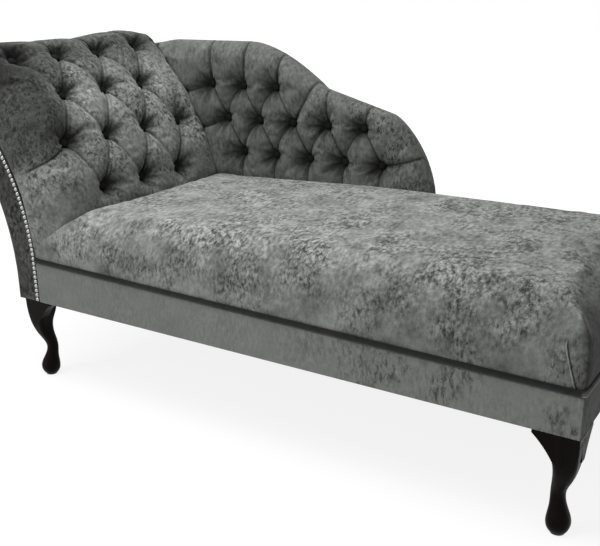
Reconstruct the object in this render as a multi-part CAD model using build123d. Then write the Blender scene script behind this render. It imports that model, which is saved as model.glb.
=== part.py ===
from build123d import *
import math
import os

# Chaise longue with a scrolled, buttoned head, a serpentine buttoned back and cabriole legs.
# Sizes are in millimetres. While the pieces are made, X runs from the head's outer face to the
# foot end, Y from the front face to the rear and Z up from the floor.

# Base and seat
base_length = 1352.0
base_depth = 612.0
leg_height = 200.0
band_height_head = 111.0
band_height_foot = 89.0
band_thickness = 9.0
piping_diameter = 12.0
piping_proud = 4.5
rail_thickness = 28.0
post_size = 51.0
cross_rail_count = 2
cross_rail_drop = 34.0
strap_width = 50.0
strap_thickness = 2.5
long_strap_count = 6
cross_strap_count = 11
hessian_thickness = 2.0
dust_cover_thickness = 1.5
hessian_inset = 12.0
seat_shoulder_height = 407.0
seat_crown = 18.0
seat_corner_radius = 55.0
seat_side_bulge = 5.0
seat_tuck = 16.0

# Head
facing_width = 68.0
face_start_height = 290.0
lean_start_height = 245.0
nail_line_radius = 500.0
head_height = 798.0
roll_radius = 95.0
roll_core_radius = 60.0
roll_slices = 11
neck_fillet = 45.0
head_board_thickness = 22.0
outside_cover_thickness = 4.0
head_pad_depth = 88.0
head_tuft_depth = 34.0
head_pleat_depth = 20.0
head_seat_room = 3.2
head_tuck_height = 14.0
head_row_rise = 56.65
head_top_row_gap = 4.5
head_column_pitch = 135.0
head_pad_seam_gap = 20.0
head_pad_front_tuck = 5.0
support_panel_thickness = 6.0
roll_tube_wall = 14.0
middle_rail_width = 60.0
middle_rail_thickness = 30.0
head_pad_lap = 2.0

# Back
back_board_thickness = 18.0
back_cover_thickness = 4.0
back_top_drop = 21.0
back_length = 812.0
back_hump_pitches = 1.15
back_slope_pitches = 2.19
back_slope_drop = 109.0
back_slope_power = 1.7
back_shoulder_drop = 52.0
back_shoulder_power = 1.3
back_shoulder_length = 120.0
back_shoulder_slices = 6
back_seat_room = 5.0
back_seat_depth = 22.0
back_tuft_depth = 28.0
back_pleat_depth = 16.0
back_edge_roll = 16.0
back_edge_room = 3.0
back_column_pitch = 104.0
back_column_first = 156.0
back_row_drop = 112.0
back_low_row_rise = 77.0
back_upper_buttons = 3
back_lower_buttons = 5

# Buttons and nails
button_diameter = 22.0
button_height = 8.0
button_seat_width = 25.0
nail_diameter = 10.0
nail_height = 3.0
nail_pitch = 11.2
nail_inset = 6.5

# Legs and fixings
leg_top_size = 52.0
knee_height = 142.0
knee_width = 43.0
knee_inset = 24.5
ankle_height = 73.0
ankle_width = 26.0
ankle_inset = 37.5
foot_height = 24.0
foot_width = 43.0
foot_inset = 31.5
ear_reach = 30.0
ear_drop = 52.0
ear_tip = 5.0
ear_thickness = 24.0
head_leg_inset = 17.0
glide_diameter = 26.0
glide_height = 4.0
bolt_diameter = 8.0
bolt_clearance = 0.6
hanger_bolt_inset = 26.0
hanger_bolt_depth = 39.0
hanger_bolt_reach = 34.0
back_bolt_count = 4
back_bolt_height = 250.0
back_bolt_head_diameter = 18.0
back_bolt_head_height = 5.0

# Room left beside soft pieces
clear = 0.3


# Lines and circles of the scrolled head, in the XZ plane

def unit(p, q):
    """Direction from p to q."""
    span = math.hypot(q[0] - p[0], q[1] - p[1])
    return ((q[0] - p[0]) / span, (q[1] - p[1]) / span)


def along(p, direction, distance):
    return (p[0] + direction[0] * distance, p[1] + direction[1] * distance)


def polar(centre, radius, angle):
    return (centre[0] + radius * math.cos(angle), centre[1] + radius * math.sin(angle))


def angle_of(centre, point):
    return math.atan2(point[1] - centre[1], point[0] - centre[0])


def circles_meet(c1, r1, c2, r2):
    """The meeting point of two circles that lies to the right of the way from c1 to c2."""
    span = math.hypot(c2[0] - c1[0], c2[1] - c1[1])
    reach = (span ** 2 + r1 ** 2 - r2 ** 2) / (2 * span)
    side = math.sqrt(r1 ** 2 - reach ** 2)
    way = unit(c1, c2)
    foot = along(c1, way, reach)
    return along(foot, (way[1], -way[0]), side)


button_radius_line = nail_line_radius + head_pad_depth
crown_radius = button_radius_line + head_tuft_depth
face_centre = (facing_width - nail_line_radius, face_start_height)
roll_angle = math.asin((head_height - roll_radius - face_start_height) / (crown_radius - roll_radius))
roll_centre = polar(face_centre, crown_radius - roll_radius, roll_angle)
roll_rise = roll_centre[1] - lean_start_height
outside_square = roll_centre[0] ** 2 + roll_rise ** 2 - roll_radius ** 2
outside_radius = outside_square / (2 * (roll_radius - roll_centre[0]))
outside_centre = (-outside_radius, lean_start_height)
neck_way = unit(roll_centre, outside_centre)
neck_angle = math.atan2(neck_way[1], neck_way[0]) + 2 * math.pi
head_low_angle = math.asin((seat_shoulder_height + head_seat_room - face_start_height) / crown_radius)
head_row_first = button_radius_line * head_low_angle + head_row_rise
head_row_pitch = (button_radius_line * roll_angle - head_top_row_gap - head_row_first) / 3

# Places that many pieces share
back_top_height = head_height - back_top_drop
back_pad_bottom = seat_shoulder_height + back_seat_room
high_row = back_top_height - back_row_drop
low_row = back_pad_bottom + back_low_row_rise
middle_row = (high_row + low_row) / 2
front_inside = band_thickness
rear_inside = base_depth - band_thickness
foot_inside = base_length - band_thickness
back_front = base_depth + clear
back_rear = back_front + back_board_thickness
rail_bottom = leg_height + dust_cover_thickness
middle_y = base_depth / 2
x_low = roll_centre[0] - roll_radius
x_high = base_length + piping_proud
y_low = -piping_proud
y_high = back_rear + back_cover_thickness
origin_shift = Location((-(x_low + x_high) / 2, -(y_low + y_high) / 2, 0))


def deck_height(x):
    """Height of the seat's underside, which falls a little towards the foot."""
    fall = (band_height_head - band_height_foot) * x / base_length
    return leg_height + band_height_head - fall


def rail_top(x):
    return deck_height(x) - 2 * strap_thickness - hessian_thickness


deck_slope = math.degrees(math.atan2(band_height_head - band_height_foot, base_length))


# Small makers

def box(x0, x1, y0, y1, z0, z1):
    return Pos((x0 + x1) / 2, (y0 + y1) / 2, (z0 + z1) / 2) * Box(x1 - x0, y1 - y0, z1 - z0)


def rod(x, y, z0, z1, diameter):
    return Pos(x, y, (z0 + z1) / 2) * Cylinder(diameter / 2, z1 - z0)


def rod_y(x, z, y0, y1, diameter):
    return Pos(x, (y0 + y1) / 2, z) * Rot(90, 0, 0) * Cylinder(diameter / 2, y1 - y0)


def closed_face(edges):
    return Face(Wire(edges))


def slab(edges, depth):
    """A plate from an outline in an XZ plane, running towards the rear."""
    return Solid.extrude(closed_face(edges), Vector(0, depth, 0))


def dome(radius, height):
    """Cap of a ball that stands on a flat disc."""
    ball = (radius ** 2 + height ** 2) / (2 * height)
    cap = Pos(0, 0, height - ball) * Sphere(ball)
    return cap & Pos(0, 0, height) * Box(4 * radius, 4 * radius, 2 * height)


def group(solids):
    return Compound(children=list(solids))


def at(point, y):
    return (point[0], y, point[1])


def sweep_arc(centre, radius, start, end, y):
    """Arc in an XZ plane from one angle to another."""
    middle = (start + end) / 2
    points = [at(polar(centre, radius, angle), y) for angle in (start, middle, end)]
    return ThreePointArc(*points)


# Base frame

def side_rail(y0):
    """Long rail between the head's scroll board and the foot post."""
    x0 = facing_width
    x1 = foot_inside - post_size
    corners = [(x0, rail_bottom), (x1, rail_bottom), (x1, rail_top(x1)), (x0, rail_top(x0))]
    points = [at(corner, y0) for corner in corners]
    return slab(Polyline(*points, close=True).edges(), rail_thickness)


def front_seat_rail():
    return side_rail(front_inside)


def rear_seat_rail():
    rail = side_rail(rear_inside - rail_thickness)
    for x in back_bolt_places():
        hole = bolt_diameter + bolt_clearance
        rail -= rod_y(x, back_bolt_height, rear_inside - rail_thickness - 1, rear_inside + 1, hole)
    return rail


def head_post_front():
    return front_inside + head_board_thickness


def end_rail(x0, y0):
    x1 = x0 + rail_thickness
    return box(x0, x1, y0, base_depth - y0, rail_bottom, rail_top(x1))


def head_seat_rail():
    return end_rail(outside_cover_thickness, head_post_front() + post_size)


def foot_seat_rail():
    return end_rail(foot_inside - rail_thickness, front_inside + post_size)


def hanger_bolt_places():
    head_x = head_leg_inset + hanger_bolt_inset
    foot_x = base_length - hanger_bolt_inset
    return [(x, y) for x in (head_x, foot_x) for y in (hanger_bolt_depth, base_depth - hanger_bolt_depth)]


def corner_posts():
    head_x = outside_cover_thickness
    foot_x = foot_inside - post_size
    posts = []
    for x, y in ((head_x, head_post_front()), (foot_x, front_inside)):
        top = rail_top(x + post_size)
        for y0 in (y, base_depth - y - post_size):
            posts.append(box(x, x + post_size, y0, y0 + post_size, leg_height, top))
    bored = []
    for post, (x, y) in zip(posts, hanger_bolt_places()):
        hole = rod(x, y, leg_height - 1, leg_height + hanger_bolt_reach + 1, bolt_diameter + bolt_clearance)
        bored.append(post - hole)
    return group(bored)


def seat_cross_rails():
    rails = []
    y0 = front_inside + rail_thickness
    run = foot_inside - post_size - facing_width
    for index in range(cross_rail_count):
        x = facing_width + run * (index + 1) / (cross_rail_count + 1)
        top = rail_top(x) - cross_rail_drop
        half = rail_thickness / 2
        rails.append(box(x - half, x + half, y0, base_depth - y0, rail_bottom, top))
    return group(rails)


def deck_place(x, y, lift):
    """A place on the rails' sloping top, lifted square to it."""
    return Location((x, y, rail_top(x))) * Rot(0, deck_slope, 0) * Pos(0, 0, lift)


def strap_span():
    return facing_width, foot_inside


def cross_straps():
    x0, x1 = strap_span()
    width = rear_inside - front_inside
    step = (x1 - x0 - strap_width) / (cross_strap_count - 1)
    straps = []
    for index in range(cross_strap_count):
        x = x0 + strap_width / 2 + step * index
        straps.append(deck_place(x, middle_y, strap_thickness / 2) * Box(strap_width, width, strap_thickness))
    return group(straps)


def long_straps():
    x0, x1 = strap_span()
    clear_width = rear_inside - front_inside - strap_width
    straps = []
    for index in range(long_strap_count):
        y = front_inside + strap_width / 2 + clear_width * index / (long_strap_count - 1)
        lift = 1.5 * strap_thickness
        straps.append(deck_place((x0 + x1) / 2, y, lift) * Box(x1 - x0, strap_width, strap_thickness))
    return group(straps)


def seat_hessian():
    x0, x1 = strap_span()
    lift = 2 * strap_thickness + hessian_thickness / 2
    width = rear_inside - front_inside - 2 * hessian_inset
    sheet = Box(x1 - x0 - 2 * hessian_inset, width, hessian_thickness)
    return deck_place((x0 + x1) / 2, middle_y, lift) * sheet


def dust_cover():
    """Thin cloth under the whole base, cut out round the posts and the scroll boards."""
    head_x = outside_cover_thickness
    foot_x = foot_inside - post_size
    sheet = box(head_x, foot_inside, front_inside, rear_inside, leg_height, rail_bottom)
    head_cut = head_post_front() + post_size
    foot_cut = front_inside + post_size
    cuts = ((0, facing_width, 0, head_cut), (foot_x, base_length, 0, foot_cut))
    for x0, x1, y0, y1 in cuts:
        for low, high in ((y0, y1), (base_depth - y1, base_depth - y0)):
            sheet -= box(x0, x1 + clear, low - clear, high + clear, leg_height - 1, rail_bottom + 1)
    return sheet


# Base covers and piping

def band_top(x):
    return deck_height(x) - piping_diameter


def side_band(y0, x0):
    x1 = base_length
    corners = [(x0, leg_height), (x1, leg_height), (x1, band_top(x1)), (x0, band_top(x0))]
    points = [at(corner, y0) for corner in corners]
    return slab(Polyline(*points, close=True).edges(), band_thickness)


def base_front_cover():
    return side_band(0, facing_width + clear)


def base_rear_cover():
    cover = side_band(rear_inside, facing_width + clear)
    for x in back_bolt_places():
        cover -= rod_y(x, back_bolt_height, rear_inside - 1, base_depth + 1, bolt_diameter + bolt_clearance)
    return cover


def base_foot_cover():
    return box(foot_inside, base_length, front_inside, rear_inside, leg_height, band_top(base_length))


def seat_piping():
    """Covered cord along the band's top: front, foot end and the open part of the rear."""
    inset = piping_diameter / 2 - piping_proud
    foot_x = base_length - inset
    half = piping_diameter / 2

    def corner(x, y):
        return (x, y, deck_height(x) - half + clear)
    route = [
        corner(facing_width + clear, inset),
        corner(foot_x, inset),
        corner(foot_x, base_depth - inset),
        corner(back_length + clear, base_depth - inset),
    ]
    bend = band_thickness - inset
    path = FilletPolyline(*route, radius=bend)
    start = Plane(origin=path @ 0, z_dir=path % 0)
    return sweep(start * Circle(half), path=path)


# Seat pad

def seat_section(x, low, shoulder, crown, inset):
    """Cross section of the seat pad: straight foot, swelling sides, rounded shoulders and a crown."""
    y0 = band_thickness + clear + inset
    y1 = base_depth - y0
    radius = min(seat_corner_radius, 0.6 * (shoulder - low))
    bend = radius * (1 - math.sqrt(0.5))
    side = (low + shoulder - radius) / 2
    swell = seat_side_bulge
    edges = [
        Line((x, y1, low), (x, y0, low)),
        ThreePointArc((x, y0, low), (x, y0 - swell, side), (x, y0, shoulder - radius)),
        ThreePointArc((x, y0, shoulder - radius), (x, y0 + bend, shoulder - bend), (x, y0 + radius, shoulder)),
        ThreePointArc((x, y0 + radius, shoulder), (x, middle_y, shoulder + crown), (x, y1 - radius, shoulder)),
        ThreePointArc((x, y1 - radius, shoulder), (x, y1 - bend, shoulder - bend), (x, y1, shoulder - radius)),
        ThreePointArc((x, y1, shoulder - radius), (x, y1 + swell, side), (x, y1, low)),
    ]
    return Wire(edges)


def seat_pad():
    """Crowned pad that rises along the head pad's slanting foot and rounds down at the foot end."""
    tuck_x = facing_width + clear + seat_tuck
    face_x = head_foot()[1][0]
    foot_x = base_length - seat_side_bulge
    round_steps = (0.0, 0.3, 0.6, 0.85, 1.0)
    sections = []
    for x, share in ((tuck_x, 0.1), (face_x, 0.15)):
        crown = seat_crown * share
        shoulder = min(seat_shoulder_height, head_pad_underside(x) - 2 * clear - crown)
        sections.append(seat_section(x, deck_height(x) + clear, shoulder, crown, 0))
    for x, share in ((face_x + head_row_pitch, 0.85), ((face_x + foot_x) / 2, 1.0)):
        low = deck_height(x) + clear
        sections.append(seat_section(x, low, seat_shoulder_height, seat_crown * share, 2 * share))
    for step in round_steps:
        x = foot_x - seat_corner_radius * (1 - step)
        drop = seat_corner_radius * (1 - math.sqrt(1 - (0.9 * step) ** 2))
        crown = seat_crown * (1 - 0.6 * step)
        sections.append(seat_section(x, deck_height(x) + clear, seat_shoulder_height - drop, crown, drop / 4))
    return Solid.make_loft(sections, True)


# Scrolled head

def scroll_outline(y, grow=0.0):
    """Outline of the scroll boards and facings: a leaning strip that ends in a round."""
    core = roll_core_radius + grow
    inner = nail_line_radius + grow
    outer = outside_radius + outside_cover_thickness
    fillet = neck_fillet - grow
    fillet_centre = circles_meet(face_centre, inner + fillet, roll_centre, core + fillet)
    inner_angle = angle_of(face_centre, fillet_centre)
    core_angle = angle_of(roll_centre, fillet_centre)
    turn = angle_of(fillet_centre, face_centre)
    back_turn = angle_of(fillet_centre, roll_centre)
    low = leg_height
    corners = [
        (outside_cover_thickness, low),
        (facing_width + grow, low),
        (facing_width + grow, face_start_height),
        (outside_cover_thickness, lean_start_height),
    ]
    neck_outer = along(outside_centre, (-neck_way[0], -neck_way[1]), outer)
    neck_core = along(roll_centre, neck_way, core)
    outer_angle = angle_of(outside_centre, neck_outer)
    return [
        Line(at(corners[0], y), at(corners[1], y)),
        Line(at(corners[1], y), at(corners[2], y)),
        sweep_arc(face_centre, inner, 0, inner_angle, y),
        sweep_arc(fillet_centre, fillet, turn % (2 * math.pi), back_turn % (2 * math.pi), y),
        sweep_arc(roll_centre, core, core_angle, neck_angle, y),
        Line(at(neck_core, y), at(neck_outer, y)),
        sweep_arc(outside_centre, outer, outer_angle, 0, y),
        Line(at(corners[3], y), at(corners[0], y)),
    ]


def head_front_facing():
    return slab(scroll_outline(0), front_inside)


def head_rear_facing():
    return slab(scroll_outline(rear_inside), band_thickness)


def head_front_scroll():
    return slab(scroll_outline(front_inside), head_board_thickness)


def head_rear_scroll():
    return slab(scroll_outline(rear_inside - head_board_thickness), head_board_thickness)


def head_outside_cover():
    """Fabric over the head's outer side, from the base to the neck below the roll."""
    inner = outside_radius + outside_cover_thickness
    top = angle_of(outside_centre, roll_centre)
    x1 = outside_cover_thickness
    edges = [
        Line((0, 0, leg_height), (x1, 0, leg_height)),
        Line((x1, 0, leg_height), (x1, 0, lean_start_height)),
        sweep_arc(outside_centre, inner, 0, top, 0),
        Line(at(polar(outside_centre, inner, top), 0), at(polar(outside_centre, outside_radius, top), 0)),
        sweep_arc(outside_centre, outside_radius, top, 0, 0),
        Line((0, 0, lean_start_height), (0, 0, leg_height)),
    ]
    return slab(edges, base_depth)


def board_gap():
    """The space between the two scroll boards, from front to rear."""
    y0 = front_inside + head_board_thickness
    return y0, base_depth - y0


def head_roll_tube():
    y0, y1 = board_gap()
    x, z = roll_centre
    bore = 2 * (roll_core_radius - roll_tube_wall)
    return rod_y(x, z, y0, y1, 2 * roll_core_radius) - rod_y(x, z, y0 - 1, y1 + 1, bore)


def panel_top_angle():
    reach = circles_meet(face_centre, nail_line_radius, roll_centre, roll_core_radius + clear)
    return angle_of(face_centre, reach)


def head_support_panel():
    """Bent panel that carries the head pad between the scroll boards."""
    y0, y1 = board_gap()
    inner = nail_line_radius - support_panel_thickness
    top = panel_top_angle()
    low = math.asin((rail_top(facing_width) + clear - face_start_height) / nail_line_radius)
    edges = [
        sweep_arc(face_centre, inner, low, top, y0),
        Line(at(polar(face_centre, inner, top), y0), at(polar(face_centre, nail_line_radius, top), y0)),
        sweep_arc(face_centre, nail_line_radius, top, low, y0),
        Line(at(polar(face_centre, nail_line_radius, low), y0), at(polar(face_centre, inner, low), y0)),
    ]
    return slab(edges, y1 - y0)


def head_middle_rail():
    """Rail across the head behind the support panel, half way up."""
    y0, y1 = board_gap()
    angle = panel_top_angle() / 2
    radius = nail_line_radius - support_panel_thickness - clear - middle_rail_thickness / 2
    sag = middle_rail_width ** 2 / (8 * nail_line_radius)
    x, z = polar(face_centre, radius - sag, angle)
    bar = Box(middle_rail_thickness, y1 - y0, middle_rail_width)
    return Pos(x, middle_y, z) * Rot(0, -math.degrees(angle), 0) * bar


def head_foot():
    """Both ends of the head pad's slanting foot: by the nail line just over the deck, and at the seat's top."""
    back = nail_line_radius - head_pad_lap
    rise = deck_height(facing_width) + head_tuck_height - face_start_height
    return polar(face_centre, back, math.asin(rise / back)), polar(face_centre, crown_radius, head_low_angle)


def head_pad_underside(x):
    """Height of the head pad's foot over the seat."""
    low, high = head_foot()
    return low[1] + (x - low[0]) * (high[1] - low[1]) / (high[0] - low[0])


def radial(centre, angle):
    """Places on a line out of a centre, by their radius."""
    return lambda radius: polar(centre, radius, angle)


def slanting(back):
    """Places on the head pad's foot, by the radius that they have on the face."""
    low, high = head_foot()
    way = unit(low, high)
    stretch = math.hypot(high[0] - low[0], high[1] - low[1]) / (crown_radius - back)
    return lambda radius: along(low, way, stretch * (radius - back))


def head_columns(count):
    return [middle_y + head_column_pitch * (index - (count - 1) / 2) for index in range(count)]


def head_rows():
    """Each row's angle and button count, from the seat up."""
    angles = [(head_row_first + head_row_pitch * index) / button_radius_line for index in range(4)]
    return list(zip(angles, (3, 4, 3, 4)))


def row_pleats(count, edge_low, edge_high):
    """Both sides of each button's seat in a row, with the pad's edges where the row is a short one."""
    half = button_seat_width / 2
    pleats = []
    for y in head_columns(count):
        pleats += [y - half, y + half]
    if count == 3:
        pleats = [edge_low] + pleats + [edge_high]
    return pleats


def head_section(line, back, side, pleats, depths, crowns):
    """A slice of the head pad along a line: rounded ends and one arc from each pleat to the next."""
    y0 = head_pad_front_tuck
    y1 = base_depth - head_pad_seam_gap

    def spot(y, radius):
        return at(line(radius), y)
    ys = [y0] + pleats + [y1]
    radii = [side] + depths + [side]
    edges = [Line(spot(y1, back), spot(y0, back)), Line(spot(y0, back), spot(y0, side))]
    for index, crown in enumerate(crowns):
        y_a, y_b = ys[index], ys[index + 1]
        middle = max((radii[index] + radii[index + 1]) / 2 + 0.02 * (y_b - y_a), crown)
        middle_place = (y_a + y_b) / 2
        if index == 0:
            middle_place = y_a + 0.35 * (y_b - y_a)
        if index == len(crowns) - 1:
            middle_place = y_b - 0.35 * (y_b - y_a)
        top = spot(middle_place, middle)
        edges.append(ThreePointArc(spot(y_a, radii[index]), top, spot(y_b, radii[index + 1])))
    edges.append(Line(spot(y1, side), spot(y1, back)))
    return Wire(edges)


def head_face_sections():
    """Slices up the head's face: one each side of a button row and one half way to the next row."""
    back = nail_line_radius - head_pad_lap
    side = nail_line_radius + head_pad_depth / 2
    edge_low = 0.5 * head_column_pitch
    edge_high = base_depth - edge_low
    seat_turn = button_seat_width / 2 / button_radius_line
    pleat = crown_radius - head_pleat_depth
    rows = head_rows()
    sections = []
    even = row_half_pleats(edge_low, edge_high)
    sections.append(head_section(slanting(back), back, side, even, [pleat] * 8, [crown_radius - 6] * 9))
    for index, (angle, count) in enumerate(rows):
        pleats = row_pleats(count, edge_low, edge_high)
        if count == 3:
            depths = [pleat] + [button_radius_line] * 6 + [pleat]
            narrow = (2, 4, 6)
        else:
            depths = [button_radius_line] * 8
            narrow = (1, 3, 5, 7)
        crowns = [crown_radius] * 9
        for spot in narrow:
            crowns[spot] = button_radius_line
        crowns[0] = crown_radius - 12
        crowns[-1] = crown_radius - 12
        for turn in (-seat_turn, seat_turn):
            if angle + turn < roll_angle:
                line = radial(face_centre, angle + turn)
                sections.append(head_section(line, back, side, pleats, depths, crowns))
        if index < len(rows) - 1:
            half_way = (angle + rows[index + 1][0]) / 2
            line = radial(face_centre, half_way)
            sections.append(head_section(line, back, side, even, [pleat] * 8, [crown_radius - 3] * 9))
    return sections


def row_half_pleats(edge_low, edge_high):
    """Where the slanting pleats cross half way between two rows."""
    inner = [middle_y + head_column_pitch * (index - 2.5) / 2 for index in range(6)]
    return [(edge_low + inner[0]) / 2] + inner + [(edge_high + inner[-1]) / 2]


def head_roll_sections():
    """Slices round the roll, where the top row's pleats run out."""
    back = roll_core_radius - 8
    seat = roll_radius - head_tuft_depth
    pleats = row_pleats(4, 0, 0)
    start = roll_angle + 0.02
    held = start + button_seat_width / 2 / seat
    stations = [(start, 0.0)]
    for index in range(roll_slices + 1):
        share = index / roll_slices
        stations.append((held + (neck_angle - 0.01 - held) * share, share))
    sections = []
    for angle, share in stations:
        depth_share = 0.1 + 0.9 * (1 - share) ** 4
        bottom = roll_radius - (roll_radius - seat) * depth_share
        side = roll_core_radius + 0.5 * (bottom - roll_core_radius) + 1
        crowns = [roll_radius] * 9
        for index in (1, 3, 5, 7):
            crowns[index] = bottom
        crowns[0] = roll_radius - head_pad_front_tuck
        crowns[-1] = crowns[0]
        sections.append(head_section(radial(roll_centre, angle), back, side, pleats, [bottom] * 8, crowns))
    return sections


def head_pad():
    """Buttoned pad over the head's face and round its roll, cut to sit on the scroll boards."""
    body = Solid.make_loft(head_face_sections() + head_roll_sections(), True)
    return body - slab(scroll_outline(-roll_radius, clear), base_depth + 2 * roll_radius)


def button():
    """Covered button: a flat disc under a low dome."""
    rim = 0.3 * button_height
    disc = Pos(0, 0, rim / 2) * Cylinder(button_diameter / 2, rim)
    return disc + Pos(0, 0, rim) * dome(button_diameter / 2, button_height - rim)


def head_buttons():
    buttons = []
    for angle, count in head_rows():
        x, z = polar(face_centre, button_radius_line + 2 * clear, angle)
        for y in head_columns(count):
            buttons.append(Pos(x, y, z) * Rot(0, 90 - math.degrees(angle), 0) * button())
    return group(buttons)


def nail_line_places():
    """Nail centres up the facing's inner edge and round the scroll, a nail's width in from the edge."""
    radius = nail_line_radius - nail_inset
    core = roll_core_radius - nail_inset
    fillet = neck_fillet + nail_inset
    fillet_centre = circles_meet(face_centre, radius + fillet, roll_centre, core + fillet)
    inner_angle = angle_of(face_centre, fillet_centre)
    core_angle = angle_of(roll_centre, fillet_centre)
    turn = angle_of(fillet_centre, face_centre) % (2 * math.pi)
    back_turn = angle_of(fillet_centre, roll_centre) % (2 * math.pi)
    low = leg_height + nail_inset
    straight = face_start_height - low
    stretches = [
        (straight, lambda d: (facing_width - nail_inset, low + d)),
        (radius * inner_angle, lambda d: polar(face_centre, radius, d / radius)),
        (fillet * (turn - back_turn), lambda d: polar(fillet_centre, fillet, turn - d / fillet)),
        (core * (neck_angle - core_angle), lambda d: polar(roll_centre, core, core_angle + d / core)),
    ]
    total = sum(length for length, _ in stretches)
    count = int(total / nail_pitch)
    places = []
    for index in range(count):
        distance = nail_pitch * index
        for length, place in stretches:
            if distance <= length:
                places.append(place(distance))
                break
            distance -= length
    return places


def nail():
    """Dome nail head, pointing out of the facing."""
    return dome(nail_diameter / 2, nail_height)


def facing_nails():
    return group(Pos(x, 0, z) * Rot(90, 0, 0) * nail() for x, z in nail_line_places())


# Back

def back_bolt_places():
    step = (back_length - facing_width) / (back_bolt_count + 1)
    return [facing_width + step * (index + 1) for index in range(back_bolt_count)]


def back_columns():
    """Button columns of the back: the upper and lower rows share theirs, the middle row lies between."""
    return [back_column_first + back_column_pitch * index / 2 for index in range(2 * back_lower_buttons + 1)]


hump_end = back_column_first + back_hump_pitches * back_column_pitch
notch_x = hump_end + back_slope_pitches * back_column_pitch
shoulder_x = back_length - back_shoulder_length


def back_top(x):
    """Height of the top: level by the head, falling to a notch, then a slope and a round shoulder."""
    if x <= hump_end:
        return back_top_height
    notch_height = back_top_height - back_slope_drop
    if x <= notch_x:
        share = (x - hump_end) / (notch_x - hump_end)
        return back_top_height - back_slope_drop * share ** back_slope_power
    shoulder_height = notch_height - back_shoulder_drop
    if x <= shoulder_x:
        return notch_height - back_shoulder_drop * (x - notch_x) / (shoulder_x - notch_x)
    share = min(1, (x - shoulder_x) / (back_length - shoulder_x))
    left = math.sqrt(1 - share ** back_shoulder_power)
    return back_pad_bottom + (shoulder_height - back_pad_bottom) * left


def shoulder_places():
    """Places along the back's round shoulder, closer together as it steepens."""
    step = math.pi / 2 / back_shoulder_slices
    shares = [math.sin(step * (index + 0.5)) for index in range(back_shoulder_slices)]
    return [shoulder_x + (back_length - shoulder_x) * share for share in shares]


def back_outline(y, edge):
    """Outline of the back behind the head and the seat, drawn in at its top and foot end by the edge."""
    steps = 12
    top = [hump_end + (shoulder_x - hump_end) * index / steps for index in range(steps + 1)]
    curve = [at((x, back_top(x) - edge), y) for x in top]
    squeeze = (back_length - shoulder_x - edge) / (back_length - shoulder_x)
    for x in shoulder_places():
        curve.append(at((shoulder_x + (x - shoulder_x) * squeeze, back_top(x) - edge), y))
    foot = (back_length - edge, y, back_pad_bottom - edge)
    low = leg_height + 2 * clear
    head_x = outside_cover_thickness
    outer = outside_radius + outside_cover_thickness
    neck_turn = angle_of(outside_centre, roll_centre)
    scroll = roll_radius - edge / 2
    scroll_turn = math.pi - math.asin((back_top_height - edge - roll_centre[1]) / scroll)
    scroll_top = at(polar(roll_centre, scroll, scroll_turn), y)
    scroll_low = polar(roll_centre, scroll, neck_angle)
    return [
        Line((head_x, y, low), (back_length - edge, y, low)),
        Line((back_length - edge, y, low), foot),
        Spline(foot, *reversed(curve)),
        Line(curve[0], scroll_top),
        sweep_arc(roll_centre, scroll, scroll_turn, neck_angle, y),
        Line(at(scroll_low, y), at(polar(outside_centre, outer, neck_turn), y)),
        sweep_arc(outside_centre, outer, neck_turn, 0, y),
        Line((head_x, y, lean_start_height), (head_x, y, low)),
    ]


def back_board():
    board = slab(back_outline(back_front, back_edge_roll), back_board_thickness)
    hole = bolt_diameter + bolt_clearance
    recess = back_bolt_head_diameter + bolt_clearance
    head_floor = back_rear - back_bolt_head_height - clear
    for x in back_bolt_places():
        board -= rod_y(x, back_bolt_height, back_front - 1, back_rear + 1, hole)
        board -= rod_y(x, back_bolt_height, head_floor, back_rear + 1, recess)
    return board


def back_outside_cover():
    return slab(back_outline(back_rear, back_edge_roll), back_cover_thickness)


def back_bolts():
    bolts = []
    head_floor = back_rear - back_bolt_head_height - clear
    for x in back_bolt_places():
        shank = rod_y(x, back_bolt_height, rear_inside - rail_thickness, head_floor, bolt_diameter)
        head_end = head_floor + back_bolt_head_height
        head = rod_y(x, back_bolt_height, head_floor, head_end, back_bolt_head_diameter)
        bolts.append(shank + head)
    return group(bolts)


def back_pad_low(x):
    """Lower edge of the back pad: the seat, or the head's face where that stands higher."""
    reach = crown_radius + 2
    across = x - face_centre[0]
    if across >= reach:
        return back_pad_bottom
    return max(back_pad_bottom, face_start_height + math.sqrt(reach ** 2 - across ** 2))


button_face = back_front - back_seat_depth
crown_face = button_face - back_tuft_depth
pleat_face = crown_face + back_pleat_depth


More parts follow.
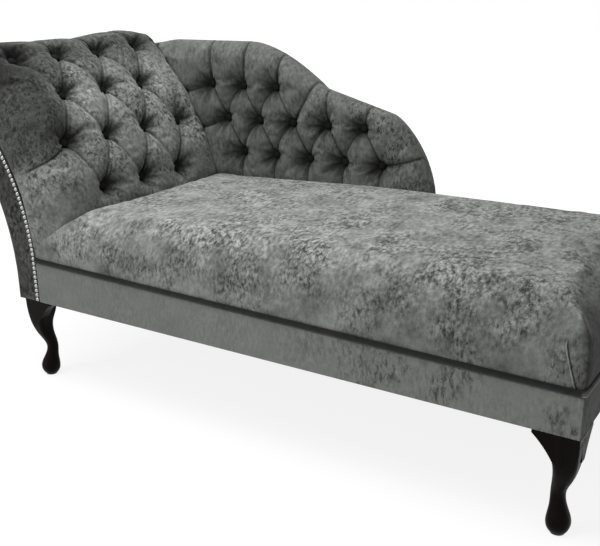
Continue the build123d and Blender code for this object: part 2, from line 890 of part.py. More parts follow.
def back_section(x, rows, seats, front=crown_face):
    """An upright slice of the back pad, with up to two button seats or pleats and a rolled top edge."""
    top = back_top(x)
    low = min(back_pad_low(x) + clear, top - 2 * back_edge_roll)
    board_top = top - back_edge_roll + back_edge_room
    rear = back_rear + back_cover_thickness
    edge_top = top - min(back_edge_roll, 0.12 * (top - low))
    wanted = [z for z in rows if low + 30 < z < top - 40]
    half = button_seat_width / 2
    marks = []
    face = button_face if seats else pleat_face
    for z in wanted:
        marks += [(z - half, face), (z + half, face)]
    spare = marks[-1][0] if marks else low
    missing = 4 - len(marks)
    for index in range(missing):
        marks.append((spare + (edge_top - spare) * (index + 1) / (missing + 1), front))
    edge_y = back_front - 0.55 * (back_front - front)
    nodes = [(low, edge_y)] + marks + [(edge_top, edge_y)]
    edges = [Line((x, back_front - clear, board_top), (x, back_front - clear, low))]
    edges.append(Line((x, back_front - clear, low), (x, edge_y, low)))
    for index in range(5):
        (z_a, y_a), (z_b, y_b) = nodes[index], nodes[index + 1]
        narrow = wanted and abs(z_b - z_a - button_seat_width) < 0.01 and y_a == y_b
        bulge = 0.6 if narrow else max(0.03 * (z_b - z_a), (y_a + y_b) / 2 - front)
        if y_a != y_b:
            bulge = 0.12 * math.hypot(z_b - z_a, y_b - y_a)
        middle = ((z_a + z_b) / 2, (y_a + y_b) / 2 - bulge)
        edges.append(ThreePointArc((x, y_a, z_a), (x, middle[1], middle[0]), (x, y_b, z_b)))
    last_z, last_y = nodes[-1]
    edges.append(ThreePointArc((x, last_y, last_z), (x, (last_y + rear) / 2 - 8, top), (x, rear, board_top)))
    edges.append(Line((x, rear, board_top), (x, back_front - clear, board_top)))
    return Wire(edges)


def back_pad():
    """Buttoned pad of the back, sliced along its length at the button columns and half way between."""
    seat = button_seat_width / 2
    columns = back_columns()
    border_face = back_front - 0.7 * head_pad_seam_gap
    head_end = roll_centre[0] + roll_core_radius + back_edge_room
    sections = [back_section(head_end, (), False, border_face)]
    sections.append(back_section(columns[0] - back_column_pitch, (), False))
    for index, x in enumerate(columns):
        if index % 2 == 0:
            rows = ([low_row] if index >= 2 else []) + ([high_row] if index < 2 * back_upper_buttons else [])
        else:
            rows = [middle_row]
        for side in (-seat, seat):
            sections.append(back_section(x + side, rows, True))
        half_way = x + back_column_pitch / 4
        crossings = [(low_row + middle_row) / 2, (middle_row + high_row) / 2]
        sections.append(back_section(half_way, crossings, False))
    last = columns[-1] + back_column_pitch / 2
    sections += [back_section(x, (), False) for x in shoulder_places() if x > last]
    return Solid.make_loft(sections, True)


def back_buttons():
    first = back_column_first
    half = back_column_pitch / 2
    places = [(first + back_column_pitch * i, high_row) for i in range(back_upper_buttons)]
    places += [(first + half + back_column_pitch * i, middle_row) for i in range(back_lower_buttons)]
    places += [(first + 2 * half + back_column_pitch * i, low_row) for i in range(back_lower_buttons)]
    face = button_face - 3 * clear
    return group(Pos(x, face, z) * Rot(90, 0, 0) * button() for x, z in places)


# Legs

def leg_section(height, inset, width, roundness):
    radius = 0.9 * max(0.1, roundness) * width / 2
    return Pos(inset, inset, height) * RectangleRounded(width, width, radius)


def leg_ear():
    """Small bracket that carries the knee's curve out under the front of the base."""
    inner = leg_top_size / 2
    tip = leg_top_size + ear_reach
    low = leg_height - ear_drop
    half_way = (knee_width + 0.36 * (tip - knee_width), leg_height - 0.6 * ear_drop)
    edges = [
        Line((inner, 0, leg_height), (tip, 0, leg_height)),
        Line((tip, 0, leg_height), (tip, 0, leg_height - ear_tip)),
        ThreePointArc((tip, 0, leg_height - ear_tip), at(half_way, 0), (knee_width, 0, low)),
        Line((knee_width, 0, low), (inner, 0, low)),
        Line((inner, 0, low), (inner, 0, leg_height)),
    ]
    return Pos(0, clear, 0) * slab(edges, ear_thickness)


def leg():
    """Cabriole leg at the corner where X and Y start: square top with ears, knee, thin ankle and pad foot."""
    top = leg_top_size / 2
    calf_width = (knee_width + ankle_width) / 2
    calf_inset = (knee_inset + ankle_inset) / 2 - 1.5
    sections = [
        leg_section(leg_height, top, leg_top_size, 0.1),
        leg_section(0.75 * leg_height + 0.25 * knee_height, top, leg_top_size - 0.6, 0.17),
        leg_section((leg_height + knee_height) / 2, top, leg_top_size - 1.2, 0.25),
        leg_section(knee_height, knee_inset, knee_width, 0.5),
        leg_section((knee_height + ankle_height) / 2, calf_inset, calf_width, 0.85),
        leg_section(ankle_height, ankle_inset, ankle_width, 1),
        leg_section((ankle_height + foot_height) / 2, (ankle_inset + foot_inset) / 2,
                    0.35 * foot_width + 0.65 * ankle_width, 1),
        leg_section(foot_height, foot_inset, foot_width, 1),
        leg_section((foot_height + glide_height) / 2, foot_inset, 0.95 * foot_width, 1),
        leg_section(glide_height, foot_inset, 0.7 * foot_width, 1),
    ]
    body = loft(sections)
    across = Plane(origin=(0, 0, 0), z_dir=(1, -1, 0))
    body = body + leg_ear() + mirror(leg_ear(), across)
    low = leg_height - hanger_bolt_reach - 1
    hole = rod(hanger_bolt_inset, hanger_bolt_depth, low, leg_height + 1, bolt_diameter + bolt_clearance)
    return body - hole


def at_corner(shape, foot_end, rear):
    """Moves a piece made at the front head corner to another corner, mirrored to face outwards."""
    if foot_end:
        shape = Pos(base_length, 0, 0) * mirror(shape, Plane.YZ)
    else:
        shape = Pos(head_leg_inset, 0, 0) * shape
    if rear:
        shape = Pos(0, base_depth, 0) * mirror(shape, Plane.XZ)
    return shape


def corners():
    return [(False, False), (False, True), (True, False), (True, True)]


def floor_glide():
    return rod(foot_inset, foot_inset, 0, glide_height, glide_diameter)


def hanger_bolts():
    low = leg_height - hanger_bolt_reach
    high = leg_height + hanger_bolt_reach
    return group(rod(x, y, low, high, bolt_diameter) for x, y in hanger_bolt_places())


# Every piece by its name
pieces = {
    "front_seat_rail": front_seat_rail,
    "rear_seat_rail": rear_seat_rail,
    "head_seat_rail": head_seat_rail,
    "foot_seat_rail": foot_seat_rail,
    "corner_posts": corner_posts,
    "seat_cross_rails": seat_cross_rails,
    "cross_straps": cross_straps,
    "long_straps": long_straps,
    "seat_hessian": seat_hessian,
    "dust_cover": dust_cover,
    "base_front_cover": base_front_cover,
    "base_rear_cover": base_rear_cover,
    "base_foot_cover": base_foot_cover,
    "seat_piping": seat_piping,
    "seat_pad": seat_pad,
    "head_front_facing": head_front_facing,
    "head_rear_facing": head_rear_facing,
    "head_front_scroll": head_front_scroll,
    "head_rear_scroll": head_rear_scroll,
    "head_outside_cover": head_outside_cover,
    "head_roll_tube": head_roll_tube,
    "head_support_panel": head_support_panel,
    "head_middle_rail": head_middle_rail,
    "head_pad": head_pad,
    "head_buttons": head_buttons,
    "facing_nails": facing_nails,
    "back_board": back_board,
    "back_outside_cover": back_outside_cover,
    "back_bolts": back_bolts,
    "back_pad": back_pad,
    "back_buttons": back_buttons,
    "hanger_bolts": hanger_bolts,
}

corner_names = ("front_head", "rear_head", "front_foot", "rear_foot")

os.makedirs("parts", exist_ok=True)
made = {name: make() for name, make in pieces.items()}
for corner_name, (foot_end, rear) in zip(corner_names, corners()):
    made[corner_name + "_leg"] = at_corner(leg(), foot_end, rear)
    made[corner_name + "_glide"] = at_corner(floor_glide(), foot_end, rear)
for name, shape in made.items():
    export_step(origin_shift * shape, os.path.join("parts", name + ".step"))
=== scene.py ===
import math
import random

import bpy
import numpy as np
from mathutils import Matrix, Vector


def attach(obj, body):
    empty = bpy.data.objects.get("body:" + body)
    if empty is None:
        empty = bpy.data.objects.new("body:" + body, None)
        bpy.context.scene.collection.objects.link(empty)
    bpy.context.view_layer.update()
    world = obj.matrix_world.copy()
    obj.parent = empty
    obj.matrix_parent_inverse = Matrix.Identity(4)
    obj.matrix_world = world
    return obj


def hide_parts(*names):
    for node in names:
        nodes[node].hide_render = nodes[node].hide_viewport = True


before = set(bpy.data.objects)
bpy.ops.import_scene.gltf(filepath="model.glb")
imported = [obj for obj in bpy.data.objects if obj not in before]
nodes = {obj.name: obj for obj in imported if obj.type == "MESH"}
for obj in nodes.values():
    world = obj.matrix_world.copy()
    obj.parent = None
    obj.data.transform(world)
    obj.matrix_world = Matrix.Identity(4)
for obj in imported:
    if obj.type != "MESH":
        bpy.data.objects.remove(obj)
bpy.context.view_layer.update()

# Sizes in millimetres, the same as in the part's source. X runs from the head's outer face
# to the foot end, Y from the front face to the rear and Z up from the floor.
MM = 0.001
base_length = 1352.0
base_depth = 612.0
leg_height = 200.0
band_height_head = 111.0
band_height_foot = 89.0
piping_proud = 4.5
seat_shoulder_height = 407.0
seat_crown = 18.0
facing_width = 68.0
face_start_height = 290.0
lean_start_height = 245.0
nail_line_radius = 500.0
head_height = 798.0
roll_radius = 95.0
roll_core_radius = 60.0
neck_fillet = 45.0
head_pad_depth = 88.0
head_tuft_depth = 34.0
head_seat_room = 3.2
head_tuck_height = 14.0
head_row_rise = 56.65
head_top_row_gap = 4.5
head_column_pitch = 135.0
head_pad_seam_gap = 20.0
back_board_thickness = 18.0
back_cover_thickness = 4.0
back_top_drop = 21.0
back_length = 812.0
back_hump_pitches = 1.15
back_slope_pitches = 2.19
back_slope_drop = 109.0
back_slope_power = 1.7
back_shoulder_drop = 52.0
back_shoulder_power = 1.3
back_shoulder_length = 120.0
back_seat_room = 5.0
back_seat_depth = 22.0
back_tuft_depth = 28.0
back_column_pitch = 104.0
back_column_first = 156.0
back_row_drop = 112.0
back_low_row_rise = 77.0
button_diameter = 22.0
clear = 0.3

# Lines that follow from those sizes
button_line = nail_line_radius + head_pad_depth
crown_radius = button_line + head_tuft_depth
face_centre = np.array([facing_width - nail_line_radius, face_start_height])
roll_angle = math.asin((head_height - roll_radius - face_start_height) / (crown_radius - roll_radius))


def polar(centre, radius, angle):
    return np.array([centre[0] + radius * math.cos(angle), centre[1] + radius * math.sin(angle)])


roll_centre = polar(face_centre, crown_radius - roll_radius, roll_angle)
roll_rise = roll_centre[1] - lean_start_height
roll_reach = roll_centre[0] ** 2 + roll_rise ** 2
outside_radius = (roll_reach - roll_radius ** 2) / (2 * (roll_radius - roll_centre[0]))
neck_angle = math.atan2(lean_start_height - roll_centre[1], -outside_radius - roll_centre[0]) + 2 * math.pi
head_low_angle = math.asin((seat_shoulder_height + head_seat_room - face_start_height) / crown_radius)
head_row_first = button_line * head_low_angle + head_row_rise
head_row_pitch = (button_line * roll_angle - head_top_row_gap - head_row_first) / 3
back_top_height = head_height - back_top_drop
back_pad_bottom = seat_shoulder_height + back_seat_room
back_front = base_depth + clear
back_rear = back_front + back_board_thickness
button_face = back_front - back_seat_depth
crown_face = button_face - back_tuft_depth
middle_y = base_depth / 2
x_middle = (roll_centre[0] - roll_radius + base_length + piping_proud) / 2
y_middle = (back_rear + back_cover_thickness - piping_proud) / 2


def in_frame(points):
    """Points in millimetres to the shared frame in metres."""
    return (np.asarray(points, float) - np.array([x_middle, y_middle, 0.0])) * MM


def deck_height(x):
    return leg_height + band_height_head - (band_height_head - band_height_foot) * x / base_length


def ease(value, start, end):
    """Share from nought at the start to one at the end, eased at both."""
    share = np.clip((value - start) / (end - start), 0, 1)
    return share * share * (3 - 2 * share)


# Handling of pieces

def deselect():
    bpy.ops.object.select_all(action="DESELECT")


def take(piece):
    """Makes one piece the only one selected and active."""
    deselect()
    piece.select_set(True)
    bpy.context.view_layer.objects.active = piece


def call(piece, name):
    """Gives a piece and its mesh one name."""
    piece.name = name
    piece.data.name = name


def open_mesh():
    """Opens the active piece for editing with all of it selected."""
    bpy.ops.object.mode_set(mode="EDIT")
    bpy.ops.mesh.select_all(action="SELECT")


def close_mesh():
    bpy.ops.object.mode_set(mode="OBJECT")


def copy_of(piece, name):
    copy = bpy.data.objects.new(name, piece.data.copy())
    bpy.context.scene.collection.objects.link(copy)
    return copy


def read(piece):
    co = np.zeros(len(piece.data.vertices) * 3)
    piece.data.vertices.foreach_get("co", co)
    return co.reshape(-1, 3)


def write(piece, co):
    piece.data.vertices.foreach_set("co", np.asarray(co, float).ravel())
    piece.data.update()


def normals(piece):
    out = np.zeros(len(piece.data.vertices) * 3, np.float32)
    piece.data.vertex_normals.foreach_get("vector", out)
    return out.reshape(-1, 3).astype(float)


def note(piece, name, values):
    """Keeps one number for each vertex on the mesh."""
    attribute = piece.data.attributes.get(name) or piece.data.attributes.new(name, "FLOAT", "POINT")
    attribute.data.foreach_set("value", np.asarray(values, np.float32))


def noted(piece, name):
    values = np.zeros(len(piece.data.vertices), np.float32)
    piece.data.attributes[name].data.foreach_get("value", values)
    return values.astype(float)


def laid(piece):
    """Each vertex's two places on the flat pad, and how far it is on the outer cover."""
    return [noted(piece, key) for key in ("lay_a", "lay_b", "cover")]


def finish_modifier(piece, kind, **settings):
    take(piece)
    bpy.ops.object.modifier_add(type=kind)
    modifier = piece.modifiers[-1]
    for key, value in settings.items():
        setattr(modifier, key, value)
    bpy.ops.object.modifier_apply(modifier=modifier.name)


def subdivide_once(piece):
    finish_modifier(piece, "SUBSURF", levels=1, render_levels=1)


def smooth(piece, angle=None):
    take(piece)
    if angle is None:
        bpy.ops.object.shade_smooth()
    else:
        bpy.ops.object.shade_smooth_by_angle(angle=math.radians(angle))


def skin(name, points, lay_a, lay_b, cover):
    """A grid primitive carried to rows of points, closed along its seam and at both ends."""
    rows, columns = points.shape[:2]
    deselect()
    bpy.ops.mesh.primitive_grid_add(x_subdivisions=columns - 1, y_subdivisions=rows - 1, size=1.0)
    piece = bpy.context.object
    call(piece, name)
    flat = read(piece)
    column = np.rint((flat[:, 0] + 0.5) * (columns - 1)).astype(int)
    row = np.rint((flat[:, 1] + 0.5) * (rows - 1)).astype(int)
    write(piece, in_frame(points[row, column]))
    for key, values in (("lay_a", lay_a), ("lay_b", lay_b), ("cover", cover)):
        note(piece, key, values[row, column])
    open_mesh()
    bpy.ops.mesh.remove_doubles(threshold=0.00002)
    bpy.ops.mesh.select_all(action="DESELECT")
    bpy.ops.mesh.select_non_manifold()
    bpy.ops.mesh.fill_holes(sides=0)
    bpy.ops.mesh.select_all(action="SELECT")
    bpy.ops.mesh.normals_make_consistent(inside=False)
    close_mesh()
    return piece


least_hold = 0.02


def swell(piece, held, pressure, cap, slack, frames=16):
    """Blows the cover out like stuffed cloth, held where the pad is sewn or buttoned down."""
    start = read(piece)
    take(piece)
    group = piece.vertex_groups.new(name="held")
    for index, weight in enumerate(held):
        if weight >= least_hold:
            group.add([index], float(weight), "REPLACE")
    bpy.ops.object.modifier_add(type="CLOTH")
    cloth = piece.modifiers[-1]
    stuff = cloth.settings
    stuff.quality = 4
    stuff.mass = 0.3
    stuff.tension_stiffness = 15
    stuff.compression_stiffness = 8
    stuff.shear_stiffness = 6
    stuff.bending_stiffness = 0.6
    stuff.shrink_min = -slack
    stuff.use_pressure = True
    stuff.uniform_pressure_force = pressure
    stuff.vertex_group_mass = "held"
    stuff.effector_weights.gravity = 0
    cloth.point_cache.frame_start = 1
    cloth.point_cache.frame_end = frames
    for moment in range(1, frames + 1):
        bpy.context.scene.frame_set(moment)
    shown = piece.evaluated_get(bpy.context.evaluated_depsgraph_get())
    blown = np.zeros(len(start) * 3)
    shown.data.vertices.foreach_get("co", blown)
    move = blown.reshape(-1, 3) - start
    reach = np.linalg.norm(move, axis=1, keepdims=True)
    move *= np.minimum(1.0, cap * MM / np.maximum(reach, 1e-9))
    piece.modifiers.remove(cloth)
    piece.vertex_groups.clear()
    bpy.context.scene.frame_set(1)
    write(piece, start + move)


# Pleats and button seats, on a pad laid flat

fold_fall = 2.6
fold_blend = 5
fold_soft_side, fold_steep_side = 5.5, 1.6
# Widths of the painted shade lines along each fold and beside it
fold_shade_width, twin_shade_width = 2.6, 2.2
fold_press = 4.2
fan_radius, fan_width = 23.0, 12.0


class Pleat:
    """A fold between two places on the flat pad, with depth and mark at both ends and half way; mark scales
    crease and painted shade.
    """

    def __init__(self, start, end, depths, bend=0.0, marks=(1.0, 0.8, 0.8), twin_shade=0.0):
        self.start = np.array(start, float)
        self.end = np.array(end, float)
        self.depths = depths
        self.bend = bend
        self.marks = marks
        self.twin_shade = twin_shade

    def measure(self, a, b):
        """Distance to the fold, distance to one side of its line, and share of its length there."""
        way = self.end - self.start
        span = np.hypot(*way)
        way = way / span
        run = (a - self.start[0]) * way[0] + (b - self.start[1]) * way[1]
        share = np.clip(run / span, 0, 1)
        off = (a - self.start[0]) * way[1] - (b - self.start[1]) * way[0]
        off = off - self.bend * 4 * share * (1 - share)
        return np.hypot(off, run - share * span), off, share

    def depth(self, share):
        first, middle, last = self.depths
        return middle + np.where(
            share < 0.5,
            (first - middle) * np.abs(1 - 2 * share) ** fold_fall,
            (last - middle) * np.abs(2 * share - 1) ** fold_fall,
        )

    def mark(self, share):
        return np.interp(share, (0.0, 0.5, 1.0), self.marks)


def soft_depth(a, b, pleats, seats, depth, spread, seat_spread):
    """How far the stuffed cover is drawn in at each place."""
    total = np.zeros_like(a)
    for pleat in pleats:
        distance, off, share = pleat.measure(a, b)
        wide = np.where(off > 0, 1.25, 0.75) * spread
        total += (pleat.depth(share) * np.exp(-(distance / wide) ** 1.1)) ** fold_blend
    for place in seats:
        distance = np.hypot(a - place[0], b - place[1])
        total += (depth * np.exp(-(distance / seat_spread) ** 1.7)) ** fold_blend
    return total ** (1 / fold_blend)


def crease(a, b, pleats, seats, seed, shift, wide):
    """Narrow folds with painted shade lines, gathers that fan out of each button, and painted shade in the
    pits.
    """
    rng = random.Random(seed)
    dent = np.zeros_like(a)
    painted_line = np.zeros_like(a)
    for pleat in pleats:
        distance, off, share = pleat.measure(a, b)
        mark = pleat.mark(share)
        fall = np.where(off > 0, fold_soft_side, fold_steep_side)
        dent = np.maximum(dent, mark * np.exp(-distance / fall))
        painted_line = np.maximum(painted_line, mark * np.exp(-(distance / fold_shade_width) ** 2))
        if pleat.twin_shade:
            beside = np.hypot(distance - np.abs(off), off - pleat.twin_shade)
            painted_line = np.maximum(painted_line, 0.6 * mark * np.exp(-(beside / twin_shade_width) ** 2))
    fan = np.zeros_like(a)
    pit_shade = np.zeros_like(a)
    for place in seats:
        distance = np.hypot(a - place[0], b - place[1])
        turn = np.arctan2(a - place[0], b - place[1])
        count = rng.choice((7, 8, 9))
        phase = rng.uniform(0, 2 * math.pi)
        wave = np.cos(count * turn + phase) + 0.5 * np.cos((2 * count + 1) * turn + 2 * phase)
        fan += wave * np.exp(-((distance - fan_radius) / fan_width) ** 2)
        shade = np.hypot(a - place[0] - shift[0], b - place[1] - shift[1])
        pit_shade = np.maximum(pit_shade, np.exp(-(shade / (wide * (1 + 0.2 * wave))) ** 2))
    return dent, painted_line, fan, pit_shade


def sewn_down(piece, pleats, seats, seat_hold, full_pleat):
    """How firmly each place is held: fully out of sight and at buttons, less along the pleats."""
    a, b, cover = laid(piece)
    held = np.where(cover < 0.05, 1.0, 0.0)
    for place in seats:
        held = np.maximum(held, np.exp(-(np.hypot(a - place[0], b - place[1]) / seat_hold) ** 4))
    for pleat in pleats:
        distance, _, share = pleat.measure(a, b)
        firm = 0.7 * np.minimum(1, pleat.depth(share) / full_pleat)
        held = np.maximum(held, firm * np.exp(-(distance / 5.0) ** 2))
    return a, b, cover, held


def press(piece, pleats, seats, seed, fan_depth, shift, wide):
    """Presses the folds and gathers into a finished pad and keeps the painted shade of its folds and pits for
    its cloth.
    """
    a, b, cover = laid(piece)
    dent, painted_line, fan, pit_shade = crease(a, b, pleats, seats, seed, shift, wide)
    inward = (dent * fold_press + fan * fan_depth) * cover
    write(piece, read(piece) - normals(piece) * (inward * MM)[:, None])
    # Painted shade for the cloth: dark lines along the folds and dark pits round the buttons
    note(piece, "fold_shade", np.clip(painted_line, 0, 1) * np.clip(cover * 1.4, 0, 1))
    note(piece, "pit_shade", pit_shade * cover)


# Head pad

head_columns = {3: [middle_y + head_column_pitch * k for k in (-1, 0, 1)],
                4: [middle_y + head_column_pitch * k for k in (-1.5, -0.5, 0.5, 1.5)]}
head_rows = [(head_row_first + head_row_pitch * index, count) for index, count in enumerate((3, 4, 3, 4))]
head_seats = [(u, y) for u, count in head_rows for y in head_columns[count]]
roll_start = button_line * roll_angle
face_stations, neck_stations, roll_stations = 64, 22, 46
foot_share = 0.28
foot_tuck = 9.0
tuck_stations = 11
foot_turn, neck_turn = 0.012, 0.015
head_front_room = 1.5
head_lift = 6.0
crest_rise, crest_fall = 11.5, 11.0
seat_edge = 62.0


def head_pleats():
    full = head_tuft_depth
    pleats = []
    for (u, count), (u_next, count_next) in zip(head_rows, head_rows[1:]):
        for y in head_columns[count]:
            for y_next in head_columns[count_next]:
                if abs(y - y_next) < 0.6 * head_column_pitch:
                    if y_next < y:
                        pleats.append(Pleat((u, y), (u_next, y_next), (full, 8, full), bend=9.0,
                                            marks=(0.1, 0.5, 1.0)))
                    else:
                        pleats.append(Pleat((u, y), (u_next, y_next), (full, 9, full), bend=4.0,
                                            marks=(1.0, 0.7, 0.7), twin_shade=-7.0))
    for index, y in enumerate(head_columns[3]):
        lean = 10 * (index - 1)
        pleats.append(Pleat((head_row_first, y), (head_row_first - 60, y + lean), (full, 4, 1)))
    row_two, row_four = head_rows[1][0], head_rows[3][0]
    for y in head_columns[4]:
        pleats.append(Pleat((row_four, y), (roll_start + 130, y - 66), (full, 5, 2), bend=-8.0,
                            marks=(1.0, 0.8, 0.5), twin_shade=8.0))
    front_edge, first = 0.0, head_columns[4][0]
    pleats.append(Pleat((row_two, first), (row_two - 40, front_edge), (full, 7, 5), bend=8.0))
    pleats.append(Pleat((row_four, first), (row_four + 20, front_edge), (full, 7, 5), bend=6.0))
    return pleats


def circles_meet(c1, r1, c2, r2):
    span = np.hypot(*(c2 - c1))
    reach = (span ** 2 + r1 ** 2 - r2 ** 2) / (2 * span)
    side = math.sqrt(r1 ** 2 - reach ** 2)
    way = (c2 - c1) / span
    return c1 + way * reach + np.array([way[1], -way[0]]) * side


def bearing(start, end):
    return math.atan2(*(end - start)[::-1])


def head_stations():
    """Places up the head: the scroll's edge, the crown over it and the length up the button line."""
    edge = nail_line_radius + 2 * clear
    core = roll_core_radius + 2 * clear
    fillet = neck_fillet - 2 * clear
    fillet_centre = circles_meet(face_centre, edge + fillet, roll_centre, core + fillet)
    inner = bearing(face_centre, fillet_centre)
    turn_low = bearing(fillet_centre, face_centre) % (2 * math.pi)
    turn_high = bearing(fillet_centre, roll_centre) % (2 * math.pi)
    core_low = bearing(roll_centre, fillet_centre)
    tuck = math.asin((deck_height(facing_width) + head_tuck_height - face_start_height) / edge)
    foot = head_low_angle - foot_turn
    low, crown, length = [], [], []
    for share in np.linspace(0, 1, face_stations, endpoint=False):
        angle = foot + (inner - foot) * share
        slant = (foot - tuck) * max(0.0, 1 - share / foot_share)
        low.append(polar(face_centre, edge, angle - slant))
        crown.append(polar(face_centre, crown_radius, angle))
        length.append(button_line * angle)
    fillet_share = fillet * (turn_low - turn_high)
    fillet_share /= fillet_share + core * (roll_angle - core_low)
    for share in np.linspace(0, 1, neck_stations, endpoint=False):
        angle = inner + (roll_angle - inner) * share
        if share < fillet_share:
            turn = turn_low + (turn_high - turn_low) * share / fillet_share
            low.append(polar(fillet_centre, fillet, turn))
        else:
            rest = (share - fillet_share) / (1 - fillet_share)
            low.append(polar(roll_centre, core, core_low + (roll_angle - core_low) * rest))
        crown.append(polar(face_centre, crown_radius, angle))
        length.append(button_line * angle)
    for share in np.linspace(0, 1, roll_stations):
        angle = roll_angle + (neck_angle - neck_turn - roll_angle) * share
        low.append(polar(roll_centre, core, angle))
        crown.append(polar(roll_centre, roll_radius, angle))
        length.append(roll_start + roll_radius * (angle - roll_angle))
    return np.array(low), np.array(crown), np.array(length)


def quarter(count):
    """Shares of a quarter round: how far along, and how far up."""
    angle = np.linspace(0, math.pi / 2, count)
    return 1 - np.cos(angle), np.sin(angle)


def head_loop(thick):
    """Across the pad at one station: places from front to rear with heights, then back along the boards."""
    y0, y1 = head_front_room, base_depth - head_pad_seam_gap
    full = crown_radius - nail_line_radius
    share = min(1.0, thick / full)
    front_run = 34 + 44 * share
    front_rise = min(0.8 * thick, 26 + 52 * share)
    rear_run = 14 + 14 * share
    rear_rise = min(0.8 * thick, 14 + 16 * share)
    run, rise = quarter(20)
    side = np.linspace(0, 1, 7, endpoint=False)
    flat = np.linspace(0, 1, 96)[1:-1]
    back = np.linspace(0, 1, 12)
    ys = [y0 - 3.0 * np.sin(math.pi * side), y0 + front_run * run,
          y0 + front_run + (y1 - rear_run - y0 - front_run) * flat,
          y1 - rear_run * run[::2][::-1], y1 + 0 * side[:4], y1 + (y0 - y1) * back]
    hs = [(thick - front_rise) * side, thick - front_rise + front_rise * rise, thick + 0 * flat,
          thick - rear_rise + rear_rise * rise[::2][::-1],
          (thick - rear_rise) * (1 - side[1:5] * 1.4), 0 * back]
    return np.concatenate(ys), np.concatenate(hs)


def make_head_pad():
    low, crown, length = head_stations()
    pleats = head_pleats()
    rows = []
    for index, (base, top, u) in enumerate(zip(low, crown, length)):
        thick = np.hypot(*(top - base))
        way = (top - base) / thick
        y, h = head_loop(thick)
        shown = np.clip((h - 0.25 * thick) / (0.35 * thick), 0, 1)
        a = np.full_like(y, u)
        depth = soft_depth(a, y, pleats, head_seats, head_tuft_depth, spread=21.0, seat_spread=23.0) * shown
        lift = head_lift * np.sin(math.pi * np.clip((y - 20) / (base_depth - 60), 0, 1))
        crest = crest_rise * ease(y, 340, 490) - crest_fall * ease(y, 515, 595)
        lift += (crest - lift) * ease(u, roll_start - 90, roll_start + 10)
        h = np.maximum(np.minimum(h, 1.0), h + (lift - head_lift) * shown - depth)
        x, z = base[0] + way[0] * h, base[1] + way[1] * h
        # The foot goes in behind the seat and follows its rounded front edge down
        tucked = foot_tuck * max(0.0, 1 - index / tuck_stations) ** 1.5 * np.clip(1 - (y - 20) / 60, 0, 1)
        y = y + tucked * (0.2 + 0.8 * ease(h, 0, 30))
        by_foot = max(0.0, 1 - index / face_stations / foot_share)
        inset = np.clip(seat_edge + 3 - y, 0, seat_edge)
        drop = (seat_edge - np.sqrt(seat_edge ** 2 - inset ** 2)) * by_foot
        z = np.maximum(z - drop, np.minimum(z, deck_height(facing_width) + 1))
        rows.append((np.stack([x, y, z], 1), a, y, shown))
    piece = skin("head_pad_cover", *map(np.array, zip(*rows)))
    a, _, _, held = sewn_down(piece, pleats, head_seats, seat_hold=15.0, full_pleat=12)
    held = np.maximum(held, 0.6 * ease(a, roll_start + 15, roll_start + 60))
    held = np.maximum(held, (a < length[0] + 8) | (a > length[-1] - 8))
    swell(piece, held, pressure=3.5, cap=9.0, slack=0.04)
    subdivide_once(piece)
    # Pressed folds, with painted shade along them and in the pits, set off and widened from each button
    press(piece, pleats, head_seats, seed=11, fan_depth=1.2, shift=(5, 9), wide=26.0)
    a, b, _ = laid(piece)
    # Painted shade: a dark seam line by the rear facing, and darkening for the pile's sheen up the face, by
    # the front edge and at the foot
    note(piece, "fold_shade", np.maximum(noted(piece, "fold_shade"), ease(b, 563.5, 568.5)))
    nap_shade = 1 - 0.66 * ease(a, 400, 520)
    nap_shade *= 1 - 0.76 * ease(b, 210, 80) * ease(a, 200, 300)
    nap_shade *= 1 - 0.40 * ease(a, 250, 170)
    note(piece, "nap_shade", nap_shade)
    note(piece, "crush", 1 - 0.8 * ease(a, 235, 150) * ease(b, 60, 150))
    smooth(piece)
    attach(piece, "root")
    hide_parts("head_pad")
    return piece


# Back pad

high_row = back_top_height - back_row_drop
low_row = back_pad_bottom + back_low_row_rise
middle_row = (high_row + low_row) / 2
back_tuck = 24.0
seam_inset = 62
back_start, back_fan = -66.0, 690.0
straight_ribs, fanned_ribs = 150, 46
fan_inset = 46
back_front_roll, back_rear_roll, back_half_deep = 44.0, 18.0, 38.0
hump_end = back_column_first + back_hump_pitches * back_column_pitch
notch_x = hump_end + back_slope_pitches * back_column_pitch
shoulder_x = back_length - back_shoulder_length
upper_columns = [back_column_first + back_column_pitch * k for k in range(3)]
middle_columns = [back_column_first + back_column_pitch * (k + 0.5) for k in range(5)]
lower_columns = [back_column_first + back_column_pitch * (k + 1) for k in range(5)]
back_seats = [(x, high_row) for x in upper_columns]
back_seats += [(x, middle_row) for x in middle_columns]
back_seats += [(x, low_row) for x in lower_columns]


def back_top(x):
    if x <= hump_end:
        return back_top_height - 12 * ease(x, 40, back_start)
    notch_height = back_top_height - back_slope_drop
    if x <= notch_x:
        share = (x - hump_end) / (notch_x - hump_end)
        return back_top_height - back_slope_drop * share ** back_slope_power
    shoulder_height = notch_height - back_shoulder_drop
    if x <= shoulder_x:
        return notch_height - back_shoulder_drop * (x - notch_x) / (shoulder_x - notch_x)
    share = min(1, (x - shoulder_x) / (back_length - shoulder_x))
    return back_pad_bottom + (shoulder_height - back_pad_bottom) * math.sqrt(1 - share ** back_shoulder_power)


